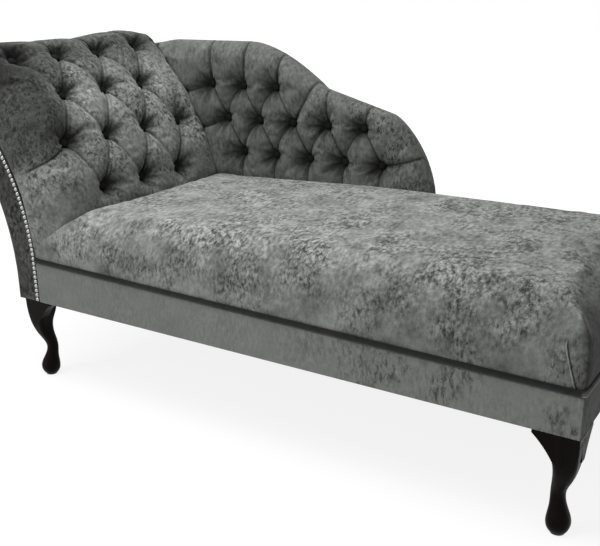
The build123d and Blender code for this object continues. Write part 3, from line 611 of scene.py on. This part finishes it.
def back_pleats():
    full = back_tuft_depth
    pleats = []
    for upper, z_upper, lower, z_lower in ((upper_columns, high_row, middle_columns, middle_row),
                                           (middle_columns, middle_row, lower_columns, low_row)):
        for x in upper:
            for x_low in lower:
                if abs(x - x_low) < 0.6 * back_column_pitch:
                    bend = 6.0 if x_low < x else -6.0
                    pleats.append(Pleat((x, z_upper), (x_low, z_lower), (full, 7, full), bend=bend))
    for x in lower_columns[:-1]:
        pleats.append(Pleat((x, low_row), (x - 3, back_pad_bottom - 20), (full, 7, 6)))
    last = lower_columns[-1]
    pleats.append(Pleat((last, low_row), (last - 6, back_pad_bottom - 20), (full, 5, 3)))
    pleats.append(Pleat((last, low_row), (back_length - 14, low_row + 36), (full, 5, 5), bend=3.0))
    tops = [(upper_columns[0], high_row, 154, 5), (upper_columns[1], high_row, 276, 5),
            (upper_columns[2], high_row, 384, 6), (middle_columns[2], middle_row, 498, 9),
            (middle_columns[3], middle_row, 508, 9), (middle_columns[4], middle_row, 637, 7)]
    for x, z, x_top, depth in tops:
        pleats.append(Pleat((x, z), (x_top, back_top(x_top) + 40), (full, 6, depth), bend=7.0))
    pleats.append(Pleat((upper_columns[0], high_row), (46, high_row - 28), (full, 6, 4), bend=-5.0))
    pleats.append(Pleat((middle_columns[0], middle_row), (105, middle_row - 36), (full, 6, 4), bend=-5.0))
    return pleats


def seam_height(x):
    """Height at which the back pad goes in behind the head pad."""
    reach = crown_radius - seam_inset
    across = x - face_centre[0]
    if across >= reach:
        return back_pad_bottom - back_tuck
    return max(back_pad_bottom - back_tuck, face_start_height + math.sqrt(reach ** 2 - across ** 2))


def back_ribs():
    """Ribs of the back pad from its lower edge to its outline, fanned round the shoulder."""
    ribs = []
    for x in np.linspace(back_start, back_fan, straight_ribs):
        low = min(seam_height(x), back_top(x) - 30)
        ribs.append(((x, low), (x, back_top(x))))
    along = back_fan + (back_length - back_fan) * np.sin(np.linspace(0, math.pi / 2, 200))
    outline = np.array([(x, back_top(x)) for x in along])
    run = np.concatenate([[0], np.cumsum(np.hypot(*np.diff(outline, axis=0).T))])
    low_span = back_length - fan_inset - back_fan
    for index in range(1, fanned_ribs + 1):
        share = index / fanned_ribs
        x = np.interp(share * run[-1], run, outline[:, 0])
        z = np.interp(share * run[-1], run, outline[:, 1])
        low = back_fan + low_span * share, back_pad_bottom - back_tuck
        ribs.append((low, (x, z - back_tuck * share)))
    return ribs


def make_back_pad():
    pleats = back_pleats()
    face = np.linspace(0, 1, 62)
    rows = []
    rear = back_rear + back_cover_thickness
    half_face = crown_face + back_half_deep
    run, rise = quarter(10)
    lean, drop = quarter(7)
    for (x0, z0), (x1, z1) in back_ribs():
        span = math.hypot(x1 - x0, z1 - z0)
        way = np.array([x1 - x0, z1 - z0]) / span
        roll = min(back_front_roll, 0.6 * span)
        rear_roll = min(back_rear_roll, 0.4 * span)
        low_edge = span - rear_roll
        g = [face[:-1] * (span - roll), span - roll + roll * rise, span - rear_roll * lean[1:],
             np.array([low_edge - 1, low_edge - 1, 0.66 * low_edge, 0.33 * low_edge, 0.0, 0.0])]
        y = [crown_face + 0 * face[:-1], crown_face + back_half_deep * run,
             half_face + (rear - crown_face - back_half_deep) * drop[1:],
             np.array([rear - 10, back_front + 1, back_front, back_front, back_front, crown_face])]
        shown = [1 + 0 * face[:-1], 1 - 0.55 * run, 0.45 * (1 - drop[1:]), np.zeros(6)]
        g, y, shown = np.concatenate(g), np.concatenate(y), np.concatenate(shown)
        x, z = x0 + way[0] * g, z0 + way[1] * g
        radius = np.hypot(x - face_centre[0], z - face_centre[1]) - (crown_radius - 16)
        by_seam = np.clip(1 - radius / 26.0, 0, 1)
        by_seat = np.clip(1 - (z - back_pad_bottom + 4) / 34.0, 0, 1)
        sink = 12 * (1 - np.sqrt(1 - by_seam ** 2)) + 8 * by_seat ** 2
        depth = soft_depth(x, z, pleats, back_seats, back_tuft_depth, spread=17.0, seat_spread=19.0)
        deep = y + sink * (y < back_front - 8) + depth * shown + 4 * shown
        y = np.where(shown > 0, np.minimum(deep, rear), y)
        up = np.where(y > half_face, z + (y - crown_face - back_half_deep), z)
        rows.append((np.stack([x, y, z], 1), x, up, shown))
    points, *lay = map(np.array, zip(*rows))
    points[:, -1] = points[:, 0]
    piece = skin("back_pad_cover", points, *lay)
    _, b, shown, held = sewn_down(piece, pleats, back_seats, seat_hold=14.0, full_pleat=7)
    held = np.maximum(held, b < back_pad_bottom + 4)
    held = np.maximum(held, 0.8 * np.clip(2.0 * (1 - shown), 0, 1))
    swell(piece, held, pressure=3.5, cap=7.0, slack=0.04)
    subdivide_once(piece)
    # Pressed folds, with painted shade along them and in the pits, set off and widened from each button
    press(piece, pleats, back_seats, seed=23, fan_depth=1.0, shift=(-11, -7), wide=32.0)
    # Painted shade along the seam where the pad goes in behind the head
    a, b, _ = laid(piece)
    from_seam = np.hypot(a - face_centre[0], b - face_centre[1]) - (crown_radius - 4)
    note(piece, "fold_shade", np.maximum(noted(piece, "fold_shade"), np.exp(-(from_seam / 6.0) ** 2)))
    note(piece, "nap_shade", np.ones(len(a)))
    note(piece, "crush", np.ones(len(a)))
    smooth(piece)
    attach(piece, "root")
    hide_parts("back_pad")
    return piece


# Seat pad

def head_foot_height(x):
    """Height of the head pad's slanting foot, which swells a little over the seat's end."""
    low = polar(face_centre, nail_line_radius, 0.0)[0], deck_height(facing_width) + head_tuck_height
    high = polar(face_centre, crown_radius, head_low_angle)
    share = np.clip((x - low[0]) / (high[0] - low[0]), 0, 1)
    return low[1] + share * (high[1] - low[1]) + 10 * np.sin(math.pi * share)


seat_corner = 17.0
seat_sunk = 11.0
seat_settle = 5.0
seat_rise_head, seat_rise_foot = 6, 20
seat_end_share = 0.12
seat_head_end, seat_head_held = 176, 170
seat_cell = 9.5


def make_seat_pad():
    """A stuffed block with soft edges whose head end rises along the head pad's foot."""
    low = np.array([facing_width + 1.0, 2.5])
    high = np.array([base_length - 1.0, base_depth - 2.5])
    top = seat_shoulder_height + 3.0
    deselect()
    bpy.ops.mesh.primitive_cube_add(size=2.0)
    piece = bpy.context.object
    call(piece, "seat_pad_cover")
    open_mesh()
    bpy.ops.mesh.subdivide(number_cuts=63)
    close_mesh()
    cube = read(piece)
    plan = low + (cube[:, :2] + 1) / 2 * (high - low)
    floor = deck_height(plan[:, 0]) - seat_sunk
    z = floor + (cube[:, 2] + 1) / 2 * (top - floor)
    # Round the foot's corners in plan, then roll the upper edge in
    middle, half = (low + high) / 2, (high - low) / 2 - seat_corner

    def past_corner():
        """How far each place lies beyond the foot's rounded corners and the two long sides."""
        beyond = np.abs(plan - middle) - half
        beyond[:, 0] = np.where(plan[:, 0] < middle[0], -half[0], beyond[:, 0])
        past = np.maximum(beyond, 0)
        return beyond, past, np.hypot(past[:, 0], past[:, 1])

    beyond, past, reach = past_corner()
    pull = np.where(reach > 0, past.max(axis=1) / np.maximum(reach, 1e-9), 1.0)
    apart = np.where(beyond > 0, half + past * pull[:, None], np.abs(plan - middle))
    plan = middle + np.sign(plan - middle) * apart
    beyond, past, reach = past_corner()
    inside = seat_corner - np.where(reach > 0, reach, beyond.max(axis=1))
    across = np.stack([beyond[:, 0] >= beyond[:, 1], beyond[:, 0] < beyond[:, 1]], 1) * 1.0
    way = np.where((reach > 0)[:, None], past / np.maximum(reach, 1e-9)[:, None], across)
    way = way * np.sign(plan - middle)
    s, t = np.maximum(seat_edge - inside, 0), np.maximum(z - (top - seat_edge), 0)
    fit = np.where((s > 0) & (t > 0), np.maximum(s, t) / np.maximum(np.hypot(s, t), 1e-9), 1.0)
    plan = plan - way * (s - s * fit)[:, None] * (plan[:, 0] > low[0] + 30)[:, None]
    z = z - (t - t * fit)
    share, width = np.clip((plan - low) / (high - low), 0, 1).T
    raised = np.sin(math.pi * width) ** 0.8 * np.clip(share / seat_end_share, 0.2, 1)
    raised = raised * np.clip((1 - share) / seat_end_share, 0.25, 1)
    up = np.clip((z - floor) / (top - floor), 0, 1)
    # The top rises toward the foot and the rear
    rise = seat_rise_head + seat_rise_foot * ease(plan[:, 0], 120, 800)
    rise = rise * (0.45 + 0.55 * ease(width, 0.2, 0.8))
    z = z + ((seat_crown - seat_settle) * raised + rise) * up ** 2
    z = np.where(plan[:, 0] < seat_head_end, np.minimum(z, head_foot_height(plan[:, 0]) + 6.0), z)
    plan[:, 1] += np.sign(width - 0.5) * 3.0 * np.sin(math.pi * up) * (np.abs(width - 0.5) > 0.46)
    write(piece, in_frame(np.column_stack([plan, z])))
    finish_modifier(piece, "REMESH", mode="VOXEL", voxel_size=seat_cell * MM)
    place = read(piece) / MM + np.array([x_middle, y_middle, 0.0])
    held = (place[:, 2] < deck_height(place[:, 0]) + 10) | (place[:, 0] < seat_head_held)
    swell(piece, held, pressure=3.0, cap=9.0, slack=0.012, frames=14)
    subdivide_once(piece)
    smooth(piece)
    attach(piece, "root")
    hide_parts("seat_pad")
    return piece


# Covers of the boards and bands

def soften(node, name, edge):
    """A copy of a board's cover with rounded edges."""
    piece = copy_of(nodes[node], name)
    piece.data.name = name
    take(piece)
    open_mesh()
    bpy.ops.mesh.remove_doubles(threshold=0.00005)
    bpy.ops.mesh.dissolve_limited(angle_limit=math.radians(2.0))
    bpy.ops.mesh.normals_make_consistent(inside=False)
    close_mesh()
    finish_modifier(piece, "BEVEL", width=edge * MM, segments=4, limit_method="ANGLE",
                    angle_limit=math.radians(50))
    smooth(piece, 40)
    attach(piece, "root")
    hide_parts(node)
    return piece


# Buttons

button_flatness = 0.62
button_rim = 2.6


def make_button():
    """Covered button: a low dome with a rim turned under."""
    deselect()
    bpy.ops.mesh.primitive_uv_sphere_add(segments=24, ring_count=14, radius=0.5 * button_diameter * MM)
    piece = bpy.context.object
    open_mesh()
    bpy.ops.transform.resize(value=(1, 1, button_flatness))
    bpy.ops.mesh.bisect(plane_co=(0, 0, -button_rim * MM), plane_no=(0, 0, -1), clear_outer=True,
                        use_fill=True)
    close_mesh()
    return piece


def place_buttons(name, node, places, colour):
    """Copies of one button, each seated at its own place and turned the way it faces."""
    pattern = make_button()
    copies = []
    for matrix in places:
        copy = copy_of(pattern, name)
        copy.data.transform(matrix)
        copies.append(copy)
    bpy.data.objects.remove(pattern)
    deselect()
    for copy in copies:
        copy.select_set(True)
    bpy.context.view_layer.objects.active = copies[0]
    bpy.ops.object.join()
    piece = bpy.context.object
    call(piece, name)
    dress(piece, colour)
    smooth(piece, 50)
    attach(piece, "root")
    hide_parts(node)


def head_button_places():
    places = []
    for u, y in head_seats:
        angle = u / button_line
        spot = polar(face_centre, button_line + 0.5, angle)
        point = in_frame([spot[0], y, spot[1]])
        places.append(Matrix.Translation(point) @ Matrix.Rotation(math.pi / 2 - angle, 4, "Y"))
    return places


def back_button_places():
    places = []
    for x, z in back_seats:
        point = in_frame([x, button_face - 1.0, z])
        places.append(Matrix.Translation(point) @ Matrix.Rotation(math.pi / 2, 4, "X"))
    return places


# Materials

class Finish:
    """The nodes of a material, or of the world, joined as they are added."""

    def __init__(self, name, world=False):
        self.owner = (bpy.data.worlds if world else bpy.data.materials).new(name)
        self.owner.use_nodes = True
        self.tree = self.owner.node_tree
        self.tree.nodes.clear()
        self.out = self.tree.nodes.new("ShaderNodeOutputWorld" if world else "ShaderNodeOutputMaterial")

    def add(self, kind, inputs=None, **settings):
        node = self.tree.nodes.new("ShaderNode" + kind)
        for key, value in settings.items():
            setattr(node, key, value)
        for key, value in (inputs or {}).items():
            self.put(node.inputs[key], value)
        return node

    def put(self, socket, value):
        if isinstance(value, bpy.types.NodeSocket):
            self.tree.links.new(value, socket)
        elif isinstance(value, bpy.types.Node):
            self.tree.links.new(value.outputs[0], socket)
        else:
            socket.default_value = value

    def sums(self, operation, first, second=0.0):
        return self.add("Math", {0: first, 1: second}, operation=operation).outputs[0]

    def times(self, first, second):
        return self.sums("MULTIPLY", first, second)

    def stretch(self, vector, scale, move=(0, 0, 0)):
        return self.add("Mapping", {"Vector": vector, "Scale": scale, "Location": move}).outputs[0]

    def noise(self, vector, scale, detail=4.0, rough=0.6, twist=0.0):
        return self.add("TexNoise", {"Vector": vector, "Scale": scale, "Detail": detail, "Roughness": rough,
                                     "Distortion": twist}).outputs["Fac"]

    def span(self, value, low, high, to_low=0.0, to_high=1.0):
        return self.add("MapRange", {"Value": value, "From Min": low, "From Max": high, "To Min": to_low,
                                     "To Max": to_high}, interpolation_type="SMOOTHSTEP").outputs[0]

    def ramp(self, value, stops):
        node = self.add("ValToRGB", {"Fac": value})
        points = node.color_ramp.elements
        while len(points) < len(stops):
            points.new(0.5)
        for point, (place, colour) in zip(points, stops):
            point.position = place
            point.color = (*colour, 1.0)
        return node.outputs["Color"]

    def mix(self, share, first, second):
        return self.add("Mix", {"Factor": share, 6: first, 7: second}, data_type="RGBA").outputs[2]

    def surface(self, **inputs):
        shader = self.add("BsdfPrincipled")
        for key, value in inputs.items():
            self.put(shader.inputs[key.replace("_", " ").title().replace("Ior", "IOR")], value)
        return self.show(shader)

    def show(self, shader):
        self.tree.links.new(shader.outputs[0], self.out.inputs["Surface"])
        return self.owner

    def seen_rays(self):
        """One for the rays of the camera and of glossy surfaces, nought for the rest."""
        path = self.add("LightPath")
        return self.sums("MAXIMUM", path.outputs["Is Camera Ray"], path.outputs["Is Glossy Ray"])

    def bump(self, height, strength, distance):
        return self.add("Bump", {"Height": height, "Strength": strength, "Distance": distance}).outputs[0]

    def object_space(self):
        return self.add("TexCoord").outputs["Object"]

    def kept(self, name):
        return self.add("Attribute", attribute_name=name).outputs["Fac"]


velvet_grey = (0.2905, 0.3025, 0.287)
fleck_grey = (0.0194, 0.0206, 0.0183, 1)
# Painted shade colours for folds and pits, and a painted highlight and shade line for a seam
fold_shade_grey = (0.0072, 0.0082, 0.0070, 1)
pit_shade_grey = (0.0053, 0.0062, 0.0052, 1)
seam_highlight, seam_shade = (0.30, 0.305, 0.30, 1), (0.010, 0.010, 0.010, 1)


def velvet(name, shade, run, grain, fleck_run, flecks, cluster=(9.0, 0.45, 0.60), top_run=None, patchy=0.1,
           growth=None, painted_facing_light=(), pad_shade_and_crush=False, seam=None, fleck_edge=(0.48, 0.72), calm=None, painted_light_along=None):
    """Crushed velvet: pile that lies in streaks and patches, with clusters of dark flecks, and painted light
    and shade where asked.
    """
    make = Finish(name)
    place = make.object_space()
    x, y, z = make.add("SeparateXYZ", {0: place}).outputs

    def streaks(lengths, move, detail=4.0, rough=0.6, twist=0.1):
        long = make.stretch(place, tuple(1.0 / part for part in lengths), move)
        return make.noise(long, 1.0, detail, rough, twist)

    def swing(noise, amount):
        return make.times(make.sums("SUBTRACT", noise, 0.5), 8 * amount)

    pile = streaks(run, (0, 0, 0))
    facing = make.add("SeparateXYZ", {0: make.add("NewGeometry").outputs["Normal"]}).outputs
    if top_run:
        on_top = make.span(facing[2], 0.3, 0.85)
        pile = make.add("Mix", {0: on_top, 2: pile, 3: streaks(top_run, (5, 3, 1))}).outputs[0]
    crushed = make.span(make.noise(place, 10.0, 3.0, 0.6), 0.36, 0.64, 0.45, 1.25)
    if calm:
        crushed = make.times(crushed, make.span(z, *calm, 1.0))
    level = make.sums("ADD", make.times(swing(pile, grain), crushed), 1.0)
    level = make.sums("ADD", level, swing(make.noise(place, 21.0, 5.0, 0.62), patchy))
    level = make.sums("ADD", level, swing(make.noise(place, 420.0, 2.0, 0.6), 0.05))
    level = make.sums("MINIMUM", make.sums("MAXIMUM", level, 0.3), 1.9)
    # Painted light along the piece's length, lighter or darker toward one end
    if painted_light_along:
        level = make.times(level, make.span(x, painted_light_along[0], painted_light_along[1], 1.0, painted_light_along[2]))
    # Painted light and shade by which way a face turns to the lamps
    for axis, start, end, factor in painted_facing_light:
        level = make.times(level, make.span(facing[axis], start, end, 1.0, factor))
    if pad_shade_and_crush:
        # Painted shade for the pile's sheen, kept on the pad
        level = make.times(level, make.kept("nap_shade"))
    tint = tuple(part * shade for part in velvet_grey)
    colour = make.ramp(make.times(level, 0.5), [(0.0, (0, 0, 0)), (1.0, tint)])
    fleck = streaks(fleck_run, (9, 4, 2), detail=5.0, rough=0.7, twist=0.5)
    crowd = make.span(make.noise(place, cluster[0], 3.0, 0.55), *cluster[1:])
    dark = make.times(make.span(fleck, *fleck_edge, 0.0, flecks), crowd)
    if growth:
        dark = make.times(dark, make.span(x, *growth, 1.0))
    if pad_shade_and_crush:
        dark = make.times(dark, make.kept("crush"))
    colour = make.mix(dark, colour, fleck_grey)
    # Painted shade in the folds and button pits
    if pad_shade_and_crush:
        colour = make.mix(make.times(make.kept("fold_shade"), 0.9), colour, fold_shade_grey)
        colour = make.mix(make.times(make.kept("pit_shade"), 0.92), colour, pit_shade_grey)
    # A seam drawn as a painted highlight beside a painted shade line
    if seam:
        x_low, z_low, x_high, z_high, y_edge = seam
        lean = make.add("MapRange", {"Value": z, "From Min": z_low, "From Max": z_high,
                                     "To Min": x_low, "To Max": x_high}).outputs[0]
        off = make.sums("SUBTRACT", x, lean)
        there = make.times(make.span(z, z_high, z_high + 0.012, 1.0, 0.0),
                           make.span(y, y_edge, y_edge + 0.01, 1.0, 0.0))
        for shift, width, paint in ((0.0030, 0.0016, seam_highlight), (0.0, 0.0022, seam_shade)):
            aside = make.sums("ABSOLUTE", make.sums("ADD", off, shift))
            painted_line = make.span(aside, 0.3 * width, width, 0.8, 0.0)
            colour = make.mix(make.times(painted_line, there), colour, paint)
    thread = make.noise(make.stretch(place, (1.0, 1.0, 2.2)), 700.0, 2.0, 0.5)
    height = make.sums("ADD", make.times(thread, 0.5), make.times(pile, 0.6))
    return make.surface(
        base_color=colour, roughness=make.span(level, 0.4, 1.6, 0.92, 0.72),
        normal=make.bump(height, 0.3, 0.001), sheen_weight=0.1 * shade, sheen_roughness=0.4,
        sheen_tint=(0.79, 0.81, 0.78, 1), specular_ior_level=0.12,
    )


def leg_wood():
    make = Finish("leg_wood")
    place = make.object_space()
    grain = make.noise(make.stretch(place, (60, 60, 6)), 1.0, 6.0, 0.65, 0.8)
    pores = make.noise(make.stretch(place, (900, 900, 40)), 1.0, 2.0, 0.5)
    colour = make.ramp(grain, [(0.25, (0.0022, 0.0014, 0.0012)), (0.55, (0.0045, 0.0026, 0.0021)),
                               (0.85, (0.009, 0.0045, 0.0035))])
    worn = make.span(make.noise(place, 45.0, 3.0), 0.4, 0.7, 0.34, 0.48)
    return make.surface(base_color=colour, roughness=worn, normal=make.bump(pores, 0.08, 0.0004),
                        specular_ior_level=0.05)


def bright_metal(name, tint, rough):
    make = Finish(name)
    place = make.object_space()
    scuff = make.noise(place, 420.0, 3.0, 0.6)
    colour = make.ramp(scuff, [(0.2, tuple(0.78 * part for part in tint)), (0.8, tint)])
    return make.surface(base_color=colour, metallic=1.0,
                        roughness=make.span(scuff, 0.2, 0.8, rough, rough + 0.15),
                        normal=make.bump(scuff, 0.05, 0.0003))


def plain_wood(name, light, dark):
    make = Finish(name)
    place = make.object_space()
    rings = make.noise(make.stretch(place, (4, 38, 38)), 1.0, 5.0, 0.6, 1.2)
    pores = make.noise(make.stretch(place, (30, 600, 600)), 1.0, 2.0, 0.5)
    colour = make.ramp(rings, [(0.3, dark), (0.7, light)])
    return make.surface(base_color=colour, roughness=make.span(pores, 0.3, 0.7, 0.6, 0.75),
                        normal=make.bump(pores, 0.2, 0.0006))


def coarse_cloth(name, light, dark, threads):
    make = Finish(name)
    place = make.object_space()

    def threads_along(axis):
        return make.add("TexWave", {"Vector": place, "Scale": threads, "Distortion": 1.2, "Detail": 1.0},
                        bands_direction=axis).outputs["Fac"]

    weave = make.times(threads_along("X"), threads_along("Y"))
    stain = make.noise(place, 14.0, 4.0, 0.6)
    colour = make.ramp(make.sums("ADD", make.times(weave, 0.5), make.times(stain, 0.5)),
                       [(0.2, dark), (0.75, light)])
    return make.surface(base_color=colour, roughness=0.9, normal=make.bump(weave, 0.4, 0.0008),
                        sheen_weight=0.1, specular_ior_level=0.2)


def glide_plastic():
    make = Finish("glide_plastic")
    place = make.object_space()
    grain = make.noise(place, 800.0, 2.0, 0.5)
    tone = make.noise(place, 60.0, 3.0)
    colour = make.ramp(tone, [(0.3, (0.012, 0.012, 0.012)), (0.7, (0.022, 0.021, 0.020))])
    return make.surface(base_color=colour, roughness=make.span(grain, 0.3, 0.7, 0.42, 0.55),
                        normal=make.bump(grain, 0.1, 0.0003))


def dress(piece, material):
    piece.data.materials.clear()
    piece.data.materials.append(material)


# Everything that shows

# One velvet in lighter and darker copies: each shade level is painted light, set for how much light that
# piece catches
velvet_head = velvet(
    "velvet_head", shade=2.18, run=(0.008, 0.008, 0.010), grain=0.36, fleck_run=(0.0095, 0.0095, 0.011),
    flecks=0.82, cluster=(6.0, 0.36, 0.52), patchy=0.16, pad_shade_and_crush=True, fleck_edge=(0.49, 0.61))
velvet_back = velvet(
    "velvet_back", shade=1.06, run=(0.007, 0.009, 0.014), grain=0.24, fleck_run=(0.007, 0.009, 0.012),
    flecks=0.88, cluster=(11.0, 0.41, 0.57), patchy=0.14, pad_shade_and_crush=True, growth=(-0.25, 0.12, 0.25),
    fleck_edge=(0.48, 0.62))
# The seat's foot end, front face and foot half darkened as painted shade; its seam has a painted highlight
# and shade line
velvet_seat = velvet(
    "velvet_seat", shade=1.86, run=(0.0065, 0.0065, 0.011), grain=0.54, fleck_run=(0.006, 0.007, 0.014),
    flecks=0.92, cluster=(10.0, 0.44, 0.58), top_run=(0.0075, 0.0125, 0.009), patchy=0.27,
    growth=(-0.4, 0.3, 0.45), calm=(0.30, 0.37, 0.3), painted_light_along=(0.2, 0.75, 0.81),
    painted_facing_light=((0, 0.35, 0.95, 0.20), (1, -0.4, -0.95, 0.70)), fleck_edge=(0.47, 0.68),
    seam=(0.7576, 0.291, 0.7386, 0.361, -0.285))
# The band's foot end darkened as painted shade, and painted light brightening it toward the foot
velvet_band = velvet(
    "velvet_band", shade=1.23, run=(0.006, 0.012, 0.014), grain=0.10, fleck_run=(0.008, 0.008, 0.019),
    flecks=0.82, patchy=0.05, growth=(0.05, 0.50, 0.0),
    painted_facing_light=((0, 0.35, 0.95, 0.5),), fleck_edge=(0.43, 0.66), painted_light_along=(-0.3, 0.5, 1.2))
velvet_facing = velvet(
    "velvet_facing", shade=0.36, run=(0.008, 0.008, 0.012), grain=0.7, fleck_run=(0.007, 0.007, 0.010),
    flecks=0.8, cluster=(9.0, 0.40, 0.58))
velvet_outside = velvet(
    "velvet_outside", shade=0.8, run=(0.008, 0.012, 0.014), grain=0.25, fleck_run=(0.007, 0.008, 0.012),
    flecks=0.7)
# Piping with a painted highlight where it turns to the foot end, painted shade on its upper side and painted
# light below
velvet_piping = velvet(
    "velvet_piping", shade=1.1, run=(0.012, 0.012, 0.012), grain=0.1, fleck_run=(0.009, 0.009, 0.009),
    flecks=0.3, painted_facing_light=((0, 0.7, 0.15, 0.16), (2, 0.1, 0.7, 0.6), (2, -0.1, -0.7, 2.4)))
velvet_edge = velvet(
    "velvet_edge", shade=0.19, run=(0.012, 0.012, 0.012), grain=0.1, fleck_run=(0.009, 0.009, 0.009),
    flecks=0.4)
# Buttons darkened as painted shade of the pits they sit in
shaded_velvet_button = velvet(
    "shaded_velvet_button", shade=0.07, run=(0.008, 0.008, 0.008), grain=0.1, fleck_run=(0.006, 0.006, 0.006),
    flecks=0.4)

dress(make_head_pad(), velvet_head)
dress(make_back_pad(), velvet_back)
dress(make_seat_pad(), velvet_seat)

board_covers = (
    ("base_front_cover", 2.5, velvet_band), ("base_rear_cover", 2.5, velvet_band),
    ("base_foot_cover", 2.5, velvet_band), ("head_front_facing", 3.0, velvet_facing),
    ("head_rear_facing", 3.0, velvet_outside), ("head_outside_cover", 1.5, velvet_outside),
    ("back_outside_cover", 1.5, velvet_outside),
)
for node, edge, finish in board_covers:
    dress(soften(node, node + "_cloth", edge), finish)

place_buttons("head_button_set", "head_buttons", head_button_places(), shaded_velvet_button)
place_buttons("back_button_set", "back_buttons", back_button_places(), shaded_velvet_button)

dark_leg = leg_wood()
frame_beech = plain_wood("frame_beech", (0.46, 0.30, 0.17), (0.34, 0.20, 0.10))
jute_web = coarse_cloth("jute_web", (0.30, 0.20, 0.11), (0.16, 0.10, 0.05), 90.0)
hessian = coarse_cloth("hessian_cloth", (0.38, 0.28, 0.17), (0.20, 0.14, 0.08), 130.0)
black_cloth = coarse_cloth("black_dust_cloth", (0.020, 0.020, 0.020), (0.010, 0.010, 0.010), 160.0)
nickel = bright_metal("nickel_nail", (0.42, 0.42, 0.41), 0.16)
zinc = bright_metal("zinc_bolt", (0.55, 0.54, 0.50), 0.35)
glide = glide_plastic()

finishes = {"seat_piping": velvet_piping, "back_board": velvet_edge, "head_front_scroll": velvet_edge,
            "head_rear_scroll": velvet_outside, "facing_nails": nickel,
            "cross_straps": jute_web, "long_straps": jute_web,
            "seat_hessian": hessian, "dust_cover": black_cloth, "back_bolts": zinc, "hanger_bolts": zinc}
for name, piece in nodes.items():
    if name.endswith("_leg"):
        dress(piece, dark_leg)
    elif name.endswith("_glide"):
        dress(piece, glide)
    else:
        dress(piece, finishes.get(name, frame_beech))

# Floor, light and camera

def lamp(name, place, aim, size, power):
    deselect()
    bpy.ops.object.light_add(type="AREA", location=place)
    light = bpy.context.object
    light.name = name
    light.data.shape = "RECTANGLE"
    light.data.size, light.data.size_y = size
    light.data.energy = power
    light.rotation_euler = (Vector(aim) - Vector(place)).to_track_quat("-Z", "Y").to_euler()


def white_floor():
    """White to the camera with a faint shadow near the middle, and matt to other rays."""
    make = Finish("white_floor")
    rays = make.seen_rays()
    fine = make.noise(make.object_space(), 3.0, 2.0)
    matt = make.add("BsdfDiffuse", {"Color": make.ramp(fine, [(0.0, (0.91, 0.91, 0.91)),
                                                              (1.0, (0.93, 0.93, 0.93))])})
    glow = make.add("Emission", {"Color": (1, 1, 1, 1), "Strength": 1.1})
    away = make.add("VectorMath", {0: make.object_space()}, operation="LENGTH").outputs["Value"]
    share = make.times(rays, make.span(away, 1.0, 3.0, 0.78, 1.0))
    return make.show(make.add("MixShader", {0: share, 1: matt, 2: glow}))


deselect()
bpy.ops.mesh.primitive_plane_add(size=30.0, location=(0, 0, 0))
floor_sheet = bpy.context.object
floor_sheet.name = "floor"
dress(floor_sheet, white_floor())

sky = Finish("studio", world=True)
dim = sky.add("Background", {"Color": (1, 1, 1, 1), "Strength": 0.28})
bright = sky.add("Background", {"Color": (1, 1, 1, 1), "Strength": 1.0})
bpy.context.scene.world = sky.show(sky.add("MixShader", {0: sky.seen_rays(), 1: dim, 2: bright}))

lamp("top_light", place=(-0.75, -0.5, 3.0), aim=(0.0, 0.0, 0.3), size=(2.6, 2.0), power=75)
lamp("front_light", place=(-1.6, -2.6, 1.7), aim=(0.0, 0.0, 0.4), size=(1.8, 1.4), power=20)

photo_width, focal_pixels, sensor_width = 600, 873.449, 36.0
camera_place = (1.079071, -1.627225, 0.911912)
camera_turn, camera_tilt, camera_roll = 32.850, 18.168, 0.584
deselect()
bpy.ops.object.camera_add(location=camera_place)
camera = bpy.context.object
camera.data.sensor_width = sensor_width
camera.data.sensor_fit = "HORIZONTAL"
camera.data.lens = focal_pixels * sensor_width / photo_width
look = Matrix.Rotation(math.radians(camera_turn), 4, "Z")
look = look @ Matrix.Rotation(math.radians(90 - camera_tilt), 4, "X")
look = look @ Matrix.Rotation(math.radians(-camera_roll), 4, "Z")
camera.rotation_euler = look.to_euler()
bpy.context.scene.camera = camera
bpy.context.scene.view_settings.view_transform = "Standard"
